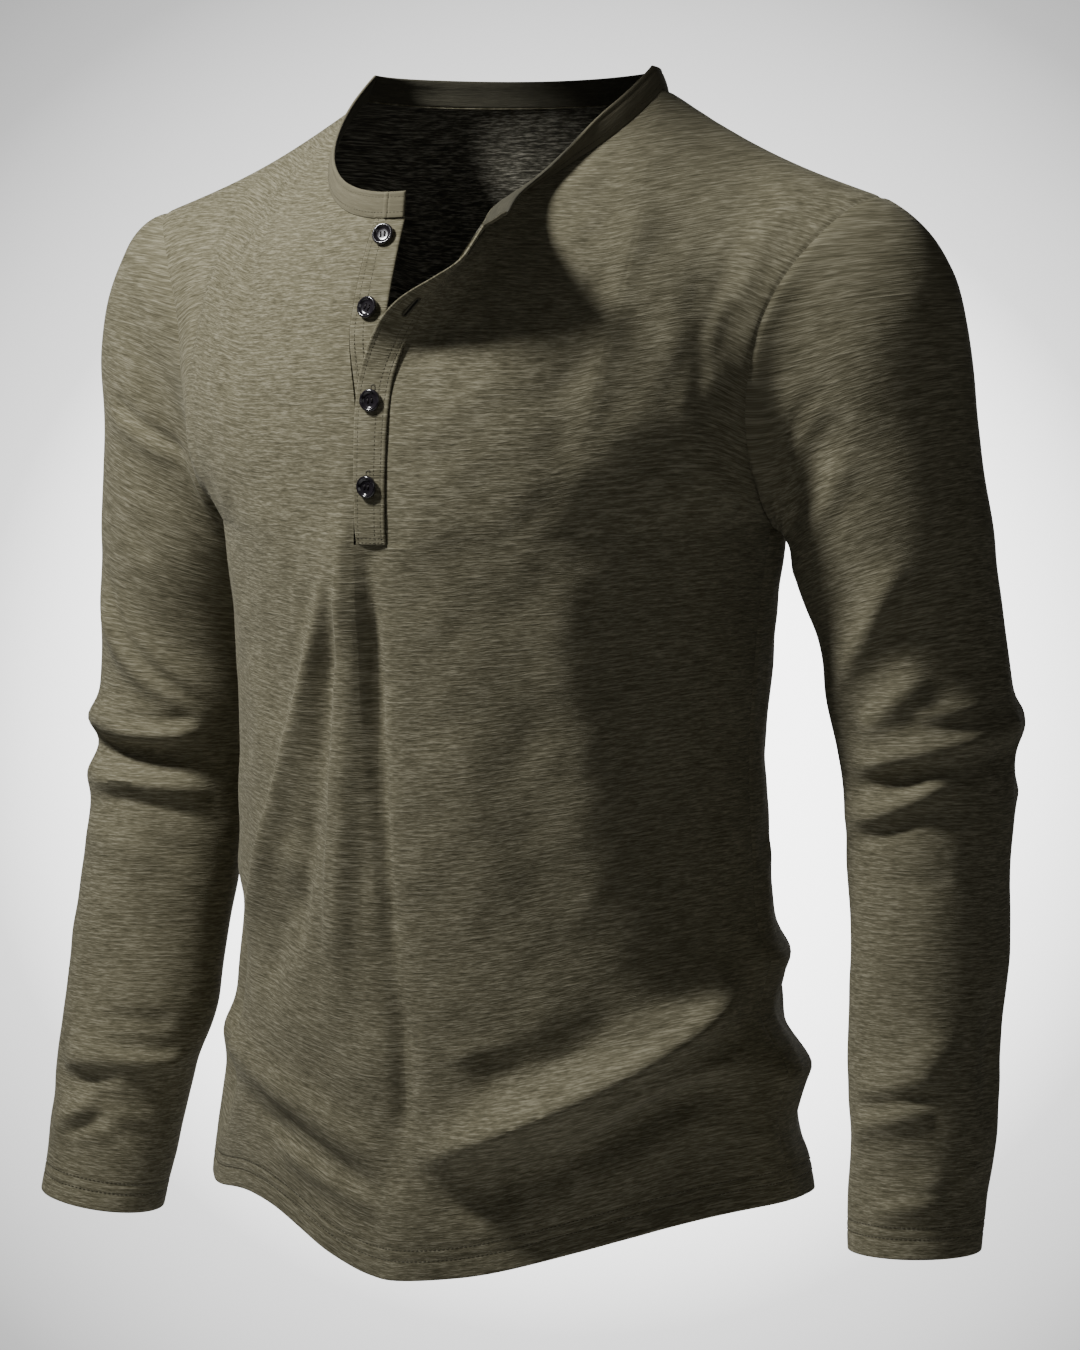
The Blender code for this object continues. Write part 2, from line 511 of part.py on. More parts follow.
# ---------------------------------------------------------------- walls
class Cloth:
    """One piece of cloth: a grid of points, its normals, and which of its cells are cut away."""

    def __init__(self, name, points, flip, cells=None, ring=False):
        self.name = name
        self.points = points
        self.ring = ring
        rows, columns = points.shape[:2]
        last = columns if ring else columns - 1
        self.cells = np.ones((rows - 1, last), bool) if cells is None else cells
        self.flip = flip
        self.normals = self.grid_normals()

    def grid_normals(self):
        points = self.points
        if self.ring:
            across = np.roll(points, -1, axis=1) - np.roll(points, 1, axis=1)
        else:
            across = np.gradient(points, axis=1)
        along = np.gradient(points, axis=0)
        normals = unit(np.cross(across, along))
        return -normals if self.flip else normals

    def corners(self, row, column):
        """The four grid points round a cell."""
        after = (column + 1) % self.points.shape[1]
        return (row, column), (row, after), (row + 1, after), (row + 1, column)

    def triangles(self):
        found = []
        for row, column in zip(*np.nonzero(self.cells)):
            a, b, c, d = self.corners(row, column)
            found.append((a, b, c))
            found.append((a, c, d))
        return found

    def border(self):
        """Directed edges that only one cell uses."""
        edges = {}
        for row, column in zip(*np.nonzero(self.cells)):
            loop = self.corners(row, column)
            for start, end in zip(loop, loop[1:] + loop[:1]):
                if (end, start) in edges:
                    del edges[(end, start)]
                else:
                    edges[(start, end)] = True
        return list(edges)

    def inset(self):
        """Draw the border in by half a seam gap, square to each seam."""
        following = {}
        before = {}
        for start, end in self.border():
            following[start] = end
            before[end] = start
        moved = self.points.copy()
        for here, ahead in following.items():
            behind = before[here]
            normal = self.normals[here]
            ways = []
            for first, second in ((behind, here), (here, ahead)):
                edge = unit(self.points[second] - self.points[first])
                ways.append(unit(np.cross(normal, edge)))
            middle = self.cell_middle(here)
            ways = [way if way @ (middle - self.points[here]) > 0 else -way for way in ways]
            shift = (ways[0] + ways[1]) / max(0.35, 1 + ways[0] @ ways[1])
            moved[here] = self.points[here] + shift * SEAM_GAP / 2
        self.points = moved

    def cell_middle(self, here):
        row, column = here
        columns = self.points.shape[1]
        found = []
        for near_row in (row - 1, row):
            for near_column in (column - 1, column):
                if self.ring:
                    near_column %= columns
                inside = 0 <= near_row < self.cells.shape[0] and 0 <= near_column < self.cells.shape[1]
                if inside and self.cells[near_row, near_column]:
                    found.append(np.mean([self.points[c] for c in self.corners(near_row, near_column)], axis=0))
        return np.mean(found, axis=0)

    def build(self, outer, inner, material):
        """Close the grid into a wall, outer and inner being distances along the normals."""
        mesh = bpy.data.meshes.new(self.name)
        solid = bmesh.new()
        layers = []
        outer = np.broadcast_to(outer, self.points.shape[:2])
        inner = np.broadcast_to(inner, self.points.shape[:2])
        used = {corner for triangle in self.triangles() for corner in triangle}
        for offset in (outer, inner):
            layer = {}
            for corner in sorted(used):
                layer[corner] = solid.verts.new(self.points[corner] + self.normals[corner] * offset[corner])
            layers.append(layer)
        for a, b, c in self.triangles():
            solid.faces.new((layers[0][a], layers[0][b], layers[0][c]))
            solid.faces.new((layers[1][c], layers[1][b], layers[1][a]))
        for start, end in self.border():
            solid.faces.new((layers[0][end], layers[0][start], layers[1][start]))
            solid.faces.new((layers[0][end], layers[1][start], layers[1][end]))
        bmesh.ops.recalc_face_normals(solid, faces=solid.faces)
        solid.to_mesh(mesh)
        solid.free()
        mesh.shade_smooth()
        mesh.set_sharp_from_angle(angle=1.0)
        mesh.materials.append(material)
        item = bpy.data.objects.new(self.name, mesh)
        bpy.context.collection.objects.link(item)
        return item


def share_normals(pieces):
    """Pieces that meet at a seam lean the same way there, so their cut edges stay parallel."""
    met = {}
    for piece in pieces:
        for start, _ in piece.border():
            key = tuple(np.round(piece.points[start], 6))
            met.setdefault(key, []).append((piece, start))
    for members in met.values():
        total = sum(piece.normals[corner] for piece, corner in members)
        if len({piece.name for piece, _ in members}) > 1:
            middle = unit(np.asarray(total))
            for piece, corner in members:
                piece.normals[corner] = middle


# ---------------------------------------------------------------- materials
def cloth_material(name, colour, roughness):
    material = bpy.data.materials.new(name)
    material.use_nodes = True
    shader = material.node_tree.nodes["Principled BSDF"]
    shader.inputs["Base Color"].default_value = (*colour, 1.0)
    shader.inputs["Roughness"].default_value = roughness
    shader.inputs["Metallic"].default_value = 0.0
    return material


def front_columns():
    """Columns of the front from side to side, closest inside the neck."""
    inner = np.linspace(PLACKET_SHARE, NECK_SHARE, NECK_COLUMNS + 1)
    outer = np.linspace(NECK_SHARE, 1.0, SHOULDER_COLUMNS + 1)[1:]
    right = np.concatenate([inner, outer])
    return np.concatenate([-right[::-1], [0.0], right])


def back_columns():
    """Columns of the back, the same as the front's along the shoulders."""
    inner = np.linspace(0.0, NECK_SHARE, BACK_NECK_COLUMNS + 1)
    outer = np.linspace(NECK_SHARE, 1.0, SHOULDER_COLUMNS + 1)[1:]
    right = np.concatenate([inner, outer])
    return np.concatenate([-right[:0:-1], right])


def row_levels():
    """Rows from the hem (0) past the armpit (1) to the neck and shoulders (2)."""
    lower = np.linspace(0.0, 1.0, BODY_ROWS)
    upper = np.linspace(1.0, 2.0, YOKE_ROWS + 1)[1:]
    return np.concatenate([lower, upper])


def make_front():
    """The front, slit down the middle from the neck to the foot of the placket."""
    u, level = np.meshgrid(front_columns(), row_levels())
    points = front_point(u, level)
    left = (u > 0) & (level > 1.0)
    right = (u < 0) & (level > 1.0)
    points = np.where(left[..., None], turn_out_flap(points), points)
    points = np.where(right[..., None], slide_button_side(points), points)
    cells = np.ones((u.shape[0] - 1, u.shape[1] - 1), bool)
    middle = u.shape[1] // 2
    cells[BODY_ROWS - 1:, middle - 1:middle + 1] = False
    return Cloth("front", points, flip=False, cells=cells)


def make_back():
    u, level = np.meshgrid(back_columns(), row_levels())
    return Cloth("back", back_point(u, level), flip=True)


def placket_grid():
    """Points of the placket strip on the worn form, from the wearer's left edge to the right."""
    share = np.linspace(1.0, -1.0, PLACKET_COLUMNS + 1) * PLACKET_SHARE
    u, level = np.meshgrid(share, row_levels()[BODY_ROWS - 1:])
    return front_point(u, level)


def make_plackets(front):
    """Two strips in the slit: the upper one turns out with the front, the under one slides off."""
    middle = front.points.shape[1] // 2
    rise = slice(BODY_ROWS - 1, None)
    base = placket_grid()
    over = turn_out_flap(base)
    over[:, 0] = front.points[rise, middle + 1]
    under = slide_button_side(base)
    under[:, -1] = front.points[rise, middle - 1]
    low, high = UNDER_RISE_Z
    depth = UNDER_DEPTH * (1 - ease((base[..., 2] - low) / (high - low)))
    return Cloth("placket_over", over, flip=True), Cloth("placket_under", under, flip=True), depth


def band_way(angle, front):
    """Which way the neckband stands up from its seam, from the centre (0) to the shoulder."""
    middle = np.array(BAND_FRONT_WAY if front else BAND_BACK_WAY)
    weight = np.sin(angle)[:, None] ** 2
    return unit(middle * (1 - weight) + np.array(BAND_SIDE_WAY) * weight)


def band_half(u, front, side):
    """One half of the band's points between the centre and a shoulder seam, on the worn form."""
    bottom = top_edge(u * side, front)
    angle = np.arcsin(np.clip(np.abs(bottom[:, 0]) / NECK_HALF_WIDTH, 0.0, 1.0))
    way = band_way(angle, front)
    way[:, 0] *= np.sign(bottom[:, 0])
    heights = np.linspace(0.0, BAND_WIDTH, BAND_ROWS + 1)[:, None, None]
    return bottom[None] + way[None] * heights


def make_band(front, back, over, under):
    """The neckband, from its end on the button side round the back to its end on the flap."""
    shares = front_columns()
    ahead = shares[(shares > 0) & (shares <= NECK_SHARE + 1e-9)]
    behind = back_columns()
    behind = behind[np.abs(behind) < NECK_SHARE - 1e-9]
    strip = np.linspace(1.0, -1.0, PLACKET_COLUMNS + 1)[:-1] * PLACKET_SHARE
    under_side = slide_button_side(band_half(np.concatenate([-strip, ahead]), True, -1))
    rear = band_half(behind, False, 1)
    over_side = turn_out_flap(band_half(np.concatenate([-strip, ahead]), True, 1))
    grid = np.concatenate([under_side, rear, over_side[:, ::-1]], axis=1)
    middle = front.points.shape[1] // 2
    count = len(ahead)
    back_middle = back.points.shape[1] // 2
    reach = len(behind) // 2
    grid[0] = np.concatenate([
        under.points[-1, :-1],
        front.points[-1, middle - count:middle][::-1],
        back.points[-1, back_middle - reach:back_middle + reach + 1],
        front.points[-1, middle + 1:middle + 1 + count][::-1],
        over.points[-1, 1:],
    ])
    return Cloth("neckband", grid, flip=True)


# ---------------------------------------------------------------- buttons
def button_seat(height, move):
    """Middle of the placket at a height on the worn form, and the cloth's normal there."""
    levels = np.linspace(1.0, 2.0, 201)
    line = front_point(np.zeros_like(levels), levels)
    level = levels[np.argmin(np.abs(line[:, 2] - height))]
    step = 0.01
    near = np.array([(0, 0), (step, 0), (-step, 0), (0, step), (0, -step)])
    points = tilt_shoulders(move(front_point(near[:, 0], level + near[:, 1])))
    normal = unit(np.cross(points[1] - points[2], points[3] - points[4]))
    return points[0], normal


def make_button(name, seat, normal, lift, material):
    """A turned button: flat back, rounded rim, dished face."""
    side_way = unit(np.cross((0.0, 0.0, 1.0), normal))
    up_way = np.cross(normal, side_way)
    solid = bmesh.new()
    rings = []
    for radius, height in BUTTON_PROFILE:
        ring = []
        for step in range(BUTTON_SIDES):
            angle = 2 * np.pi * step / BUTTON_SIDES
            around = side_way * np.cos(angle) + up_way * np.sin(angle)
            ring.append(solid.verts.new(seat + around * radius + normal * (height + lift)))
        rings.append(ring)
    for lower, upper in zip(rings, rings[1:]):
        for step in range(BUTTON_SIDES):
            after = (step + 1) % BUTTON_SIDES
            solid.faces.new((lower[step], lower[after], upper[after], upper[step]))
    for ring, height in ((rings[0], BUTTON_PROFILE[0][1]), (rings[-1], BUTTON_PROFILE[-1][1])):
        middle = solid.verts.new(seat + normal * (height + lift))
        for step in range(BUTTON_SIDES):
            solid.faces.new((ring[step], ring[(step + 1) % BUTTON_SIDES], middle))
    bmesh.ops.recalc_face_normals(solid, faces=solid.faces)
    mesh = bpy.data.meshes.new(name)
    solid.to_mesh(mesh)
    solid.free()
    mesh.shade_smooth()
    mesh.set_sharp_from_angle(angle=0.9)
    mesh.materials.append(material)
    item = bpy.data.objects.new(name, mesh)
    bpy.context.collection.objects.link(item)


def make_sleeve(name, front, back, side):
    """The sleeve starts on the armhole points of the front and the back."""
    edge = -1 if side > 0 else 0
    rise = slice(BODY_ROWS - 1, None)
    front_edge = front.points[rise, edge]
    back_edge = back.points[rise, edge]
    armhole = np.concatenate([front_edge, back_edge[-2:0:-1]])
    inner = 1 if side < 0 else -2
    front_way = front_edge - front.points[rise, inner]
    back_way = back_edge - back.points[rise, inner]
    away = np.concatenate([front_way, back_way[-2:0:-1]])
    mirror = np.array((side, 1.0, 1.0))
    armhole = armhole * mirror
    away = away * mirror
    ahead = unit(np.roll(armhole, -1, axis=0) - np.roll(armhole, 1, axis=0))
    away = unit(away - ahead * np.sum(away * ahead, axis=1, keepdims=True))
    height = (armhole[:, 2] - armhole[0, 2]) / (armhole[:, 2].max() - armhole[0, 2])
    low = (1 - ease(height / 0.45))[:, None]
    leaving = unit(away * (1 - low) + np.array(UNDERARM_WAY) * low)
    grid = sleeve_grid(armhole, leaving)
    if side < 0:
        inward = (SLEEVE_TABLE[-1][1] - grid[..., 0]) / SLEEVE_TABLE[-1][4]
        slant = ease((-0.50 - grid[..., 2]) / 0.15) * RIGHT_CUFF_SLANT * inward
        grid[..., 2] -= ease((-0.20 - grid[..., 2]) / 0.40) * RIGHT_CUFF_DROP + slant
    return Cloth(name, grid * mirror, flip=side > 0, ring=True)


def main():
    for item in list(bpy.data.objects):
        bpy.data.objects.remove(item, do_unlink=True)
    jersey = cloth_material("olive_jersey", (0.19, 0.17, 0.10), 0.90)
    horn = cloth_material("dark_button", (0.012, 0.010, 0.014), 0.18)
    front = make_front()
    back = make_back()
    left = make_sleeve("sleeve_left", front, back, 1)
    right = make_sleeve("sleeve_right", front, back, -1)
    over, under, under_depth = make_plackets(front)
    band = make_band(front, back, over, under)
    cloth = [front, back, left, right, over, under, band]
    share_normals(cloth)
    fold_body(front, front_columns()[None, :], front.points, True)
    fold_body(back, back_columns()[None, :], back.points, False)
    fold_sleeve(left, LEFT_SLEEVE_FOLDS)
    fold_sleeve(right, RIGHT_SLEEVE_FOLDS)
    for piece in cloth:
        piece.points = tilt_shoulders(piece.points)
        piece.normals = piece.grid_normals()
    share_normals(cloth)
    band_extra = (BAND_WALL - WALL) / 2
    faces = {
        "placket_over": (PLACKET_PROUD, PLACKET_PROUD - WALL),
        "placket_under": (-under_depth, -under_depth - WALL),
        "neckband": (band_extra, -WALL - band_extra),
    }
    for piece in cloth:
        piece.inset()
        outer, inner = faces.get(piece.name, (0.0, -WALL))
        piece.build(outer, inner, jersey)
    seats = [button_seat(height, slide_button_side) for height in BUTTONS_OPEN]
    seats += [button_seat(height, turn_out_flap) for height in BUTTONS_CLOSED]
    lifts = (BUTTON_LIFT, BUTTON_LIFT, PLACKET_PROUD + BUTTON_LIFT, PLACKET_PROUD + BUTTON_LIFT)
    for number, (seat, lift) in enumerate(zip(seats, lifts), start=1):
        make_button(f"button_{number}", *seat, lift, horn)


main()
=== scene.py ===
import bmesh
import bpy
import numpy as np
from mathutils import Matrix, Vector


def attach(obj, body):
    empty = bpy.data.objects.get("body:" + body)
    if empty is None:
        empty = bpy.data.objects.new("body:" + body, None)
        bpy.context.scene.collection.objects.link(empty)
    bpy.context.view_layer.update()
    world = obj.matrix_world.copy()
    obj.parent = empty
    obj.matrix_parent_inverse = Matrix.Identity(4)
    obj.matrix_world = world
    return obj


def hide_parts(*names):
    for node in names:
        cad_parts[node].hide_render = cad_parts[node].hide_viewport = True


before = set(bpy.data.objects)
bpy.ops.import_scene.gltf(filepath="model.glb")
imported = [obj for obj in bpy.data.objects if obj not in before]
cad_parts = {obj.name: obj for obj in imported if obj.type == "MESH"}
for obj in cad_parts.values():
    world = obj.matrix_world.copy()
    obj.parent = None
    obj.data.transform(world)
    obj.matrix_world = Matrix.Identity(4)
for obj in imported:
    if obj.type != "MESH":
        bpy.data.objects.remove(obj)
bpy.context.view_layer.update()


# ================================================================ the front and back
# Two panels of thin slub jersey with a curved hem, sewn together at the sides and shoulders. The
# front is slit down from the neck for the plackets. Both fall in soft folds and bunch at the waist.
NECK_HALF_WIDTH = 0.100
NECK_FRONT = (-0.122, -0.073)     # y and z of the lowest point of the neck seam
NECK_BACK = (0.056, -0.005)
NECK_SHARE = 0.47                 # of a panel's half width, where the neck meets the shoulder
NECK_LEAN = 0.05
PLACKET_WIDTH = 0.020
PLACKET_SHARE = 0.0625
SHOULDER_TIP = (0.240, 0.000, -0.066)
SHOULDER_DIP = 0.0055
SHOULDER_TILT = 0.024             # the wearer's left shoulder stands higher
TILT_Z = (-0.30, -0.08)
TILT_ROUND = 0.060
CORNER_ROUND = 0.15               # how far the neck's corner is rounded below the seam
CORNER_FADES = (0.2, 0.3)         # of that, towards the placket and towards the shoulder tip
CORNER_SHARP = (0.85, 0.15)       # where it begins to sharpen again, and over what share
# the ways in which the cloth reaches the neck's middle, its corner and the shoulder tip
FRONT_TOP_WAYS = ((0.0, 0.085, 0.150), (-0.15, 0.280, 0.230), (0.0, 0.250, 0.040))
BACK_TOP_WAYS = ((0.0, -0.110, 0.130), (-0.15, -0.210, 0.115), (0.0, -0.260, -0.042))
JUST_BELOW = 0.98                 # a level just below the armpits
ARMPIT_PULL = (0.20, 0.21)        # how far the front and the back run on straight above the armpits
NECK_TURN = 1.6                   # the cloth turns late from the neck's middle to its corner
ARMHOLE_SPAN = (0.30, 0.70)       # from where and over what share the armhole pulls
ARMHOLE_LATE = 1.5
BRIDGE = (0.0070, -0.0080)        # cloth spans from the chest and shoulder blade to the armhole
BRIDGE_SHARES = (0.36, 0.49, 0.84)
HEM_LIFT = 0.0195                 # the front hem rides up on the wearer's right
HEM_LIFT_ANGLE = 1.05
HEM_LIFT_LEVEL = 0.45
PANEL_HALF = 0.27                 # centre to side seam, laid flat
SKIRT_LENGTH = 0.41               # hem to armpit, laid flat
YOKE_LENGTH = 0.26                # armpit to shoulder, laid flat
SHOULDER_RUN = 0.143              # along the shoulder seam
NECK_RUNS = (0.110, 0.127)        # along half the neck seam, from placket or centre back
YOKE_SPREAD = 1.08                # flat width over worn width above the armpits
# flat length above the armpits from height, from height further out, and from depth
YOKE_STRETCH = (0.84, 0.20, 0.76)
YARN_SHIFT = 0.37                 # moves each piece to its own part of the yarn pattern
JERSEY = 0.0014                   # thickness of the cloth
HEM_STITCHES = (0.0115, 0.0180)   # two rows, above the hem's edge
HEM_GROOVE = (0.00042, 0.0013)    # depth and width of the line that each row presses in
# how near the side, the top edge and the slit the jersey's unevenness dies away
CALM_REACHES = (0.03, 0.03, 0.02)
# length and height of the waves that make worn jersey uneven
SWELLS = ((0.095, 0.00035), (0.060, 0.00024), (0.038, 0.00012), (0.024, 0.00005))
SWELL_WARP = (0.8, 1.7)           # how much and how slowly the waves wander
SEAM_REACH = 0.003                # ripples and grooves begin this far from a seam
# width, length and area of each panel as cut, without the turned-up hem
FRONT_CUT = (0.540, 0.730, 0.305)
BACK_CUT = (0.530, 0.720, 0.303)


def thousandths(*rows):
    """Tables are written in millimetres, with levels and turns in thousandths."""
    return tuple(tuple(value / 1000 for value in row) for row in rows)


# level, z_front, z_side, z_back, half_width, front, back, side_y
BODY_TABLE = thousandths(
    (0, -678, -636, -664, 190, 134, 142, -5),
    (120, -628, -590, -616, 184, 134, 138, -6),
    (210, -588, -555, -578, 180, 136, 132, -6),
    (300, -550, -520, -540, 173, 139, 124, -6),
    (390, -512, -485, -502, 168, 140, 119, -6),
    (530, -452, -430, -444, 164, 143, 113, -6),
    (660, -400, -380, -392, 162, 145, 111, -6),
    (790, -344, -328, -339, 165, 146, 116, -5),
    (895, -300, -288, -299, 168, 151, 122, -3),
    (1000, -257, -247, -258, 174, 156, 122, -2),
)
# along, x, y, z: armpit (0), up the front to the shoulder tip (1), down the back to the armpit (2)
ARMHOLE_TABLE = thousandths(
    (0, 174, -2, -247),
    (140, 182, -31, -233),
    (290, 186, -54, -206),
    (450, 190, -64, -172),
    (630, 198, -58, -130),
    (800, 215.5, -42, -95),
    (910, 232, -21, -73),
    (1000, 240, 0, -66),
    (1090, 234, 25, -74),
    (1200, 219, 50, -96),
    (1370, 204, 72, -130),
    (1550, 195, 76, -170),
    (1710, 190, 60, -205),
    (1860, 183, 32, -232),
    (2000, 174, -2, -247),
)
# across, z, bend_across, bend_z, end_across, end_z, lift, width: folds of the front, the sides and
# the back, across being metres round the body from the centre front
BODY_FOLDS = thousandths(
    (-22, -222, -22, -345, -44, -553, 7.8, 10.5),
    (-8, -248, -3, -376, 19, -561, -6.2, 10),
    (-24, -222, -62, -390, -156, -512, 6.2, 10),
    (-34, -265, -50, -400, -84, -515, -4.8, 8.5),
    (-69, -441, -96, -481, -112, -529, -6, 16),
    (110, -240, 128, -389, 168, -496, 3.8, 22),
    (88, -340, 96, -430, 120, -526, -3, 24),
    (255, -502, 139, -562, 8, -618, 18, 15),
    (235, -540, 118, -602, 26, -644, -11, 15),
    (255, -575, 130, -640, 45, -672, -13, 30),
    (160, -522, 116, -546, 30, -572, -2.8, 14),
    (250, -553, 162, -548, 88, -608, 8, 7.5),
    (250, -570, 162, -566, 110, -615, -5, 9),
    (-180, -550, -62, -576, 6, -620, 5, 11),
    (-120, -582, -67, -610, 0, -636, -3.4, 5.5),
    (-90, -605, -50, -622, 4, -644, 4, 8),
    (13, -510, 24, -561, 12, -604, -5, 8.5),
    (30, -610, 8, -655, 0, -740, 6, 26),
    (235, -492, 305, -508, 385, -488, 6.5, 13),
    (240, -525, 310, -540, 380, -522, -5.5, 13),
    (230, -556, 305, -574, 390, -556, 6.2, 14),
    (250, -592, 310, -606, 375, -592, -4.5, 13),
    (-178, -450, -185, -535, -172, -622, -12, 30),
    (-235, -548, -180, -562, -125, -556, 5.5, 13),
    (420, -150, 430, -300, 470, -470, 4.5, 20),
    (395, -230, 400, -360, 430, -500, -3.5, 18),
    (-410, -140, -425, -300, -480, -480, 4.5, 20),
    (-385, -220, -390, -350, -420, -480, -3.5, 18),
    (330, -500, 440, -560, 530, -585, 6, 18),
    (-330, -505, -440, -560, -530, -592, 6, 18),
    (345, -540, 440, -600, 520, -622, -4, 15),
    (-330, -470, -400, -500, -470, -490, 4.5, 16),
    # narrow crests and creases that sharpen those folds
    (-20, -222, -31, -310, -52, -548, 2.6, 3.4),
    (-22, -222, -62, -385, -164, -512, 2.1, 4.2),
    (250, -503, 132, -562, 12, -616, 4.8, 5.8),
    (245, -554, 161, -548, 98, -602, 2.6, 4.2),
    (-115, -573, -64, -601, -8, -627, -2, 3.6),
    (41, -550, 65, -542, 89, -539, 1.4, 5),
    (91, -557, 112, -546, 136, -542, -1.6, 5.5),
    (134, -533, 158, -531, 194, -518, 1.4, 5.5),
    (-58, -270, -66, -290, -73, -318, 1.3, 4.5),
    (-205, -552, -175, -560, -130, -556, 1.4, 5),
    (245, -556, 305, -573, 360, -560, 1.6, 5.5),
    (245, -494, 300, -508, 360, -494, 1.5, 5.5),
    (215, -470, 235, -485, 262, -478, 1.4, 5),
    (205, -585, 232, -600, 268, -596, 1.4, 5),
    (20, -300, 28, -360, 22, -430, 0.8, 7),
    (-105, -120, -112, -160, -108, -200, 0.8, 8),
    (205, -215, 170, -232, 140, -262, 1.2, 7),
    (-215, -190, -180, -220, -150, -262, 1.2, 7),
    (240, -262, 205, -290, 185, -330, 1.2, 8),
    (-240, -262, -205, -292, -190, -340, 1.2, 8),
    (335, -230, 370, -262, 400, -300, 1.4, 8),
    (-335, -230, -372, -255, -405, -290, 1.4, 8),
    (420, -430, 470, -455, 525, -450, 1.2, 6),
    (-350, -400, -420, -428, -480, -418, 1.2, 6),
    (300, -420, 330, -450, 360, -500, 1, 6),
)


def ease(value):
    value = np.clip(value, 0.0, 1.0)
    return value * value * (3.0 - 2.0 * value)


def ramp(value, span):
    """Rises from 0 to 1; span is where it begins and over what width, less than 0 for downwards."""
    return ease((value - span[0]) / span[1])


def unit(vectors):
    length = np.linalg.norm(vectors, axis=-1, keepdims=True)
    return vectors / np.maximum(length, 1e-12)


def sweep(start, start_way, end, end_way, t):
    """A curve that leaves start and reaches end in the given ways."""
    t = np.asarray(t)[..., None]
    return (start * (1 + 2 * t) * (1 - t) ** 2 + start_way * t * (1 - t) ** 2
            + end * t * t * (3 - 2 * t) + end_way * t * t * (t - 1))


def read_table(table, at):
    """A smooth curve through a table's rows; the first column is the key."""
    rows = np.array(table)
    keys = rows[:, 0]
    values = rows[:, 1:]
    slopes = np.gradient(values, keys, axis=0)
    at = np.asarray(at, dtype=float)
    span = np.clip(np.searchsorted(keys, at, side="right") - 1, 0, len(keys) - 2)
    width = keys[span + 1] - keys[span]
    return sweep(values[span], slopes[span] * width[..., None], values[span + 1],
                 slopes[span + 1] * width[..., None], (at - keys[span]) / width)


def tilt_shoulders(points):
    low, high = TILT_Z
    across = (points[..., 0] + np.hypot(points[..., 0], TILT_ROUND)) / 2
    lifted = points.copy()
    lifted[..., 2] += SHOULDER_TILT * across * ease((points[..., 2] - low) / (high - low))
    return lifted


def angle_from_centre(share, half_width, last_share):
    """How far round from the centre; the placket keeps its own width of it."""
    edge = np.arcsin(PLACKET_WIDTH / 2 / half_width)
    outside = edge + (np.pi / 2 - edge) * (share - PLACKET_SHARE) / (last_share - PLACKET_SHARE)
    return np.clip(np.where(share < PLACKET_SHARE, edge * share / PLACKET_SHARE, outside), 0, np.pi / 2)


def body_point(u, level, front):
    """A point below the armpits; u runs -1..1 from side seam to side seam."""
    z_front, z_side, z_back, half_width, ahead_depth, back_depth, side_y = np.moveaxis(
        read_table(BODY_TABLE, level), -1, 0)
    angle = angle_from_centre(np.abs(u), BODY_TABLE[-1][4], 1)
    ahead = np.cos(angle)
    depth = -ahead_depth if front else back_depth
    z_middle = z_front if front else z_back
    z = z_side + (z_middle - z_side) * ahead ** 3
    if front:
        lift = np.where((u < 0) & (angle < HEM_LIFT_ANGLE), np.sin(np.pi * angle / HEM_LIFT_ANGLE) ** 2, 0.0)
        z = z + HEM_LIFT * lift * (1 - ease(np.asarray(level) / HEM_LIFT_LEVEL))
    x = np.sign(u) * half_width * np.sin(angle)
    return np.stack(np.broadcast_arrays(x, side_y + depth * ahead, z), axis=-1)


def top_edge(u, front):
    """The neck seam and then the shoulder seam."""
    share = np.abs(u)
    angle = angle_from_centre(share, NECK_HALF_WIDTH, NECK_SHARE)
    y_middle, z_middle = NECK_FRONT if front else NECK_BACK
    neck = np.stack([NECK_HALF_WIDTH * np.sin(angle), y_middle * np.cos(angle),
                     z_middle * np.cos(angle)], axis=-1)
    along = np.clip((share - NECK_SHARE) / (1 - NECK_SHARE), 0.0, 1.0)
    high = np.array((NECK_HALF_WIDTH, 0.0, 0.0))
    shoulder = high + (np.array(SHOULDER_TIP) - high) * along[..., None]
    shoulder[..., 2] -= SHOULDER_DIP * np.sin(np.pi * along)
    point = np.where((share <= NECK_SHARE)[..., None], neck, shoulder)
    point[..., 0] *= np.sign(u)
    return point


def soft_top_edge(u, t, front):
    """The top edge as the cloth below it feels it: the neck corner only sharpens near the seam."""
    share = np.abs(u)
    inner, outer = CORNER_FADES
    window = CORNER_ROUND * ease((share - PLACKET_SHARE) / inner) * ease((1 - share) / outer)
    steps = np.linspace(-1.0, 1.0, 13)
    weights = np.cos(steps * np.pi / 2 * 0.95) ** 2
    rounded = sum(weight * top_edge(np.sign(u) * (share + step * window), front)
                  for step, weight in zip(steps, weights / weights.sum()))
    sharp = ramp(t, CORNER_SHARP)[..., None]
    return top_edge(u, front) * sharp + rounded * (1 - sharp)


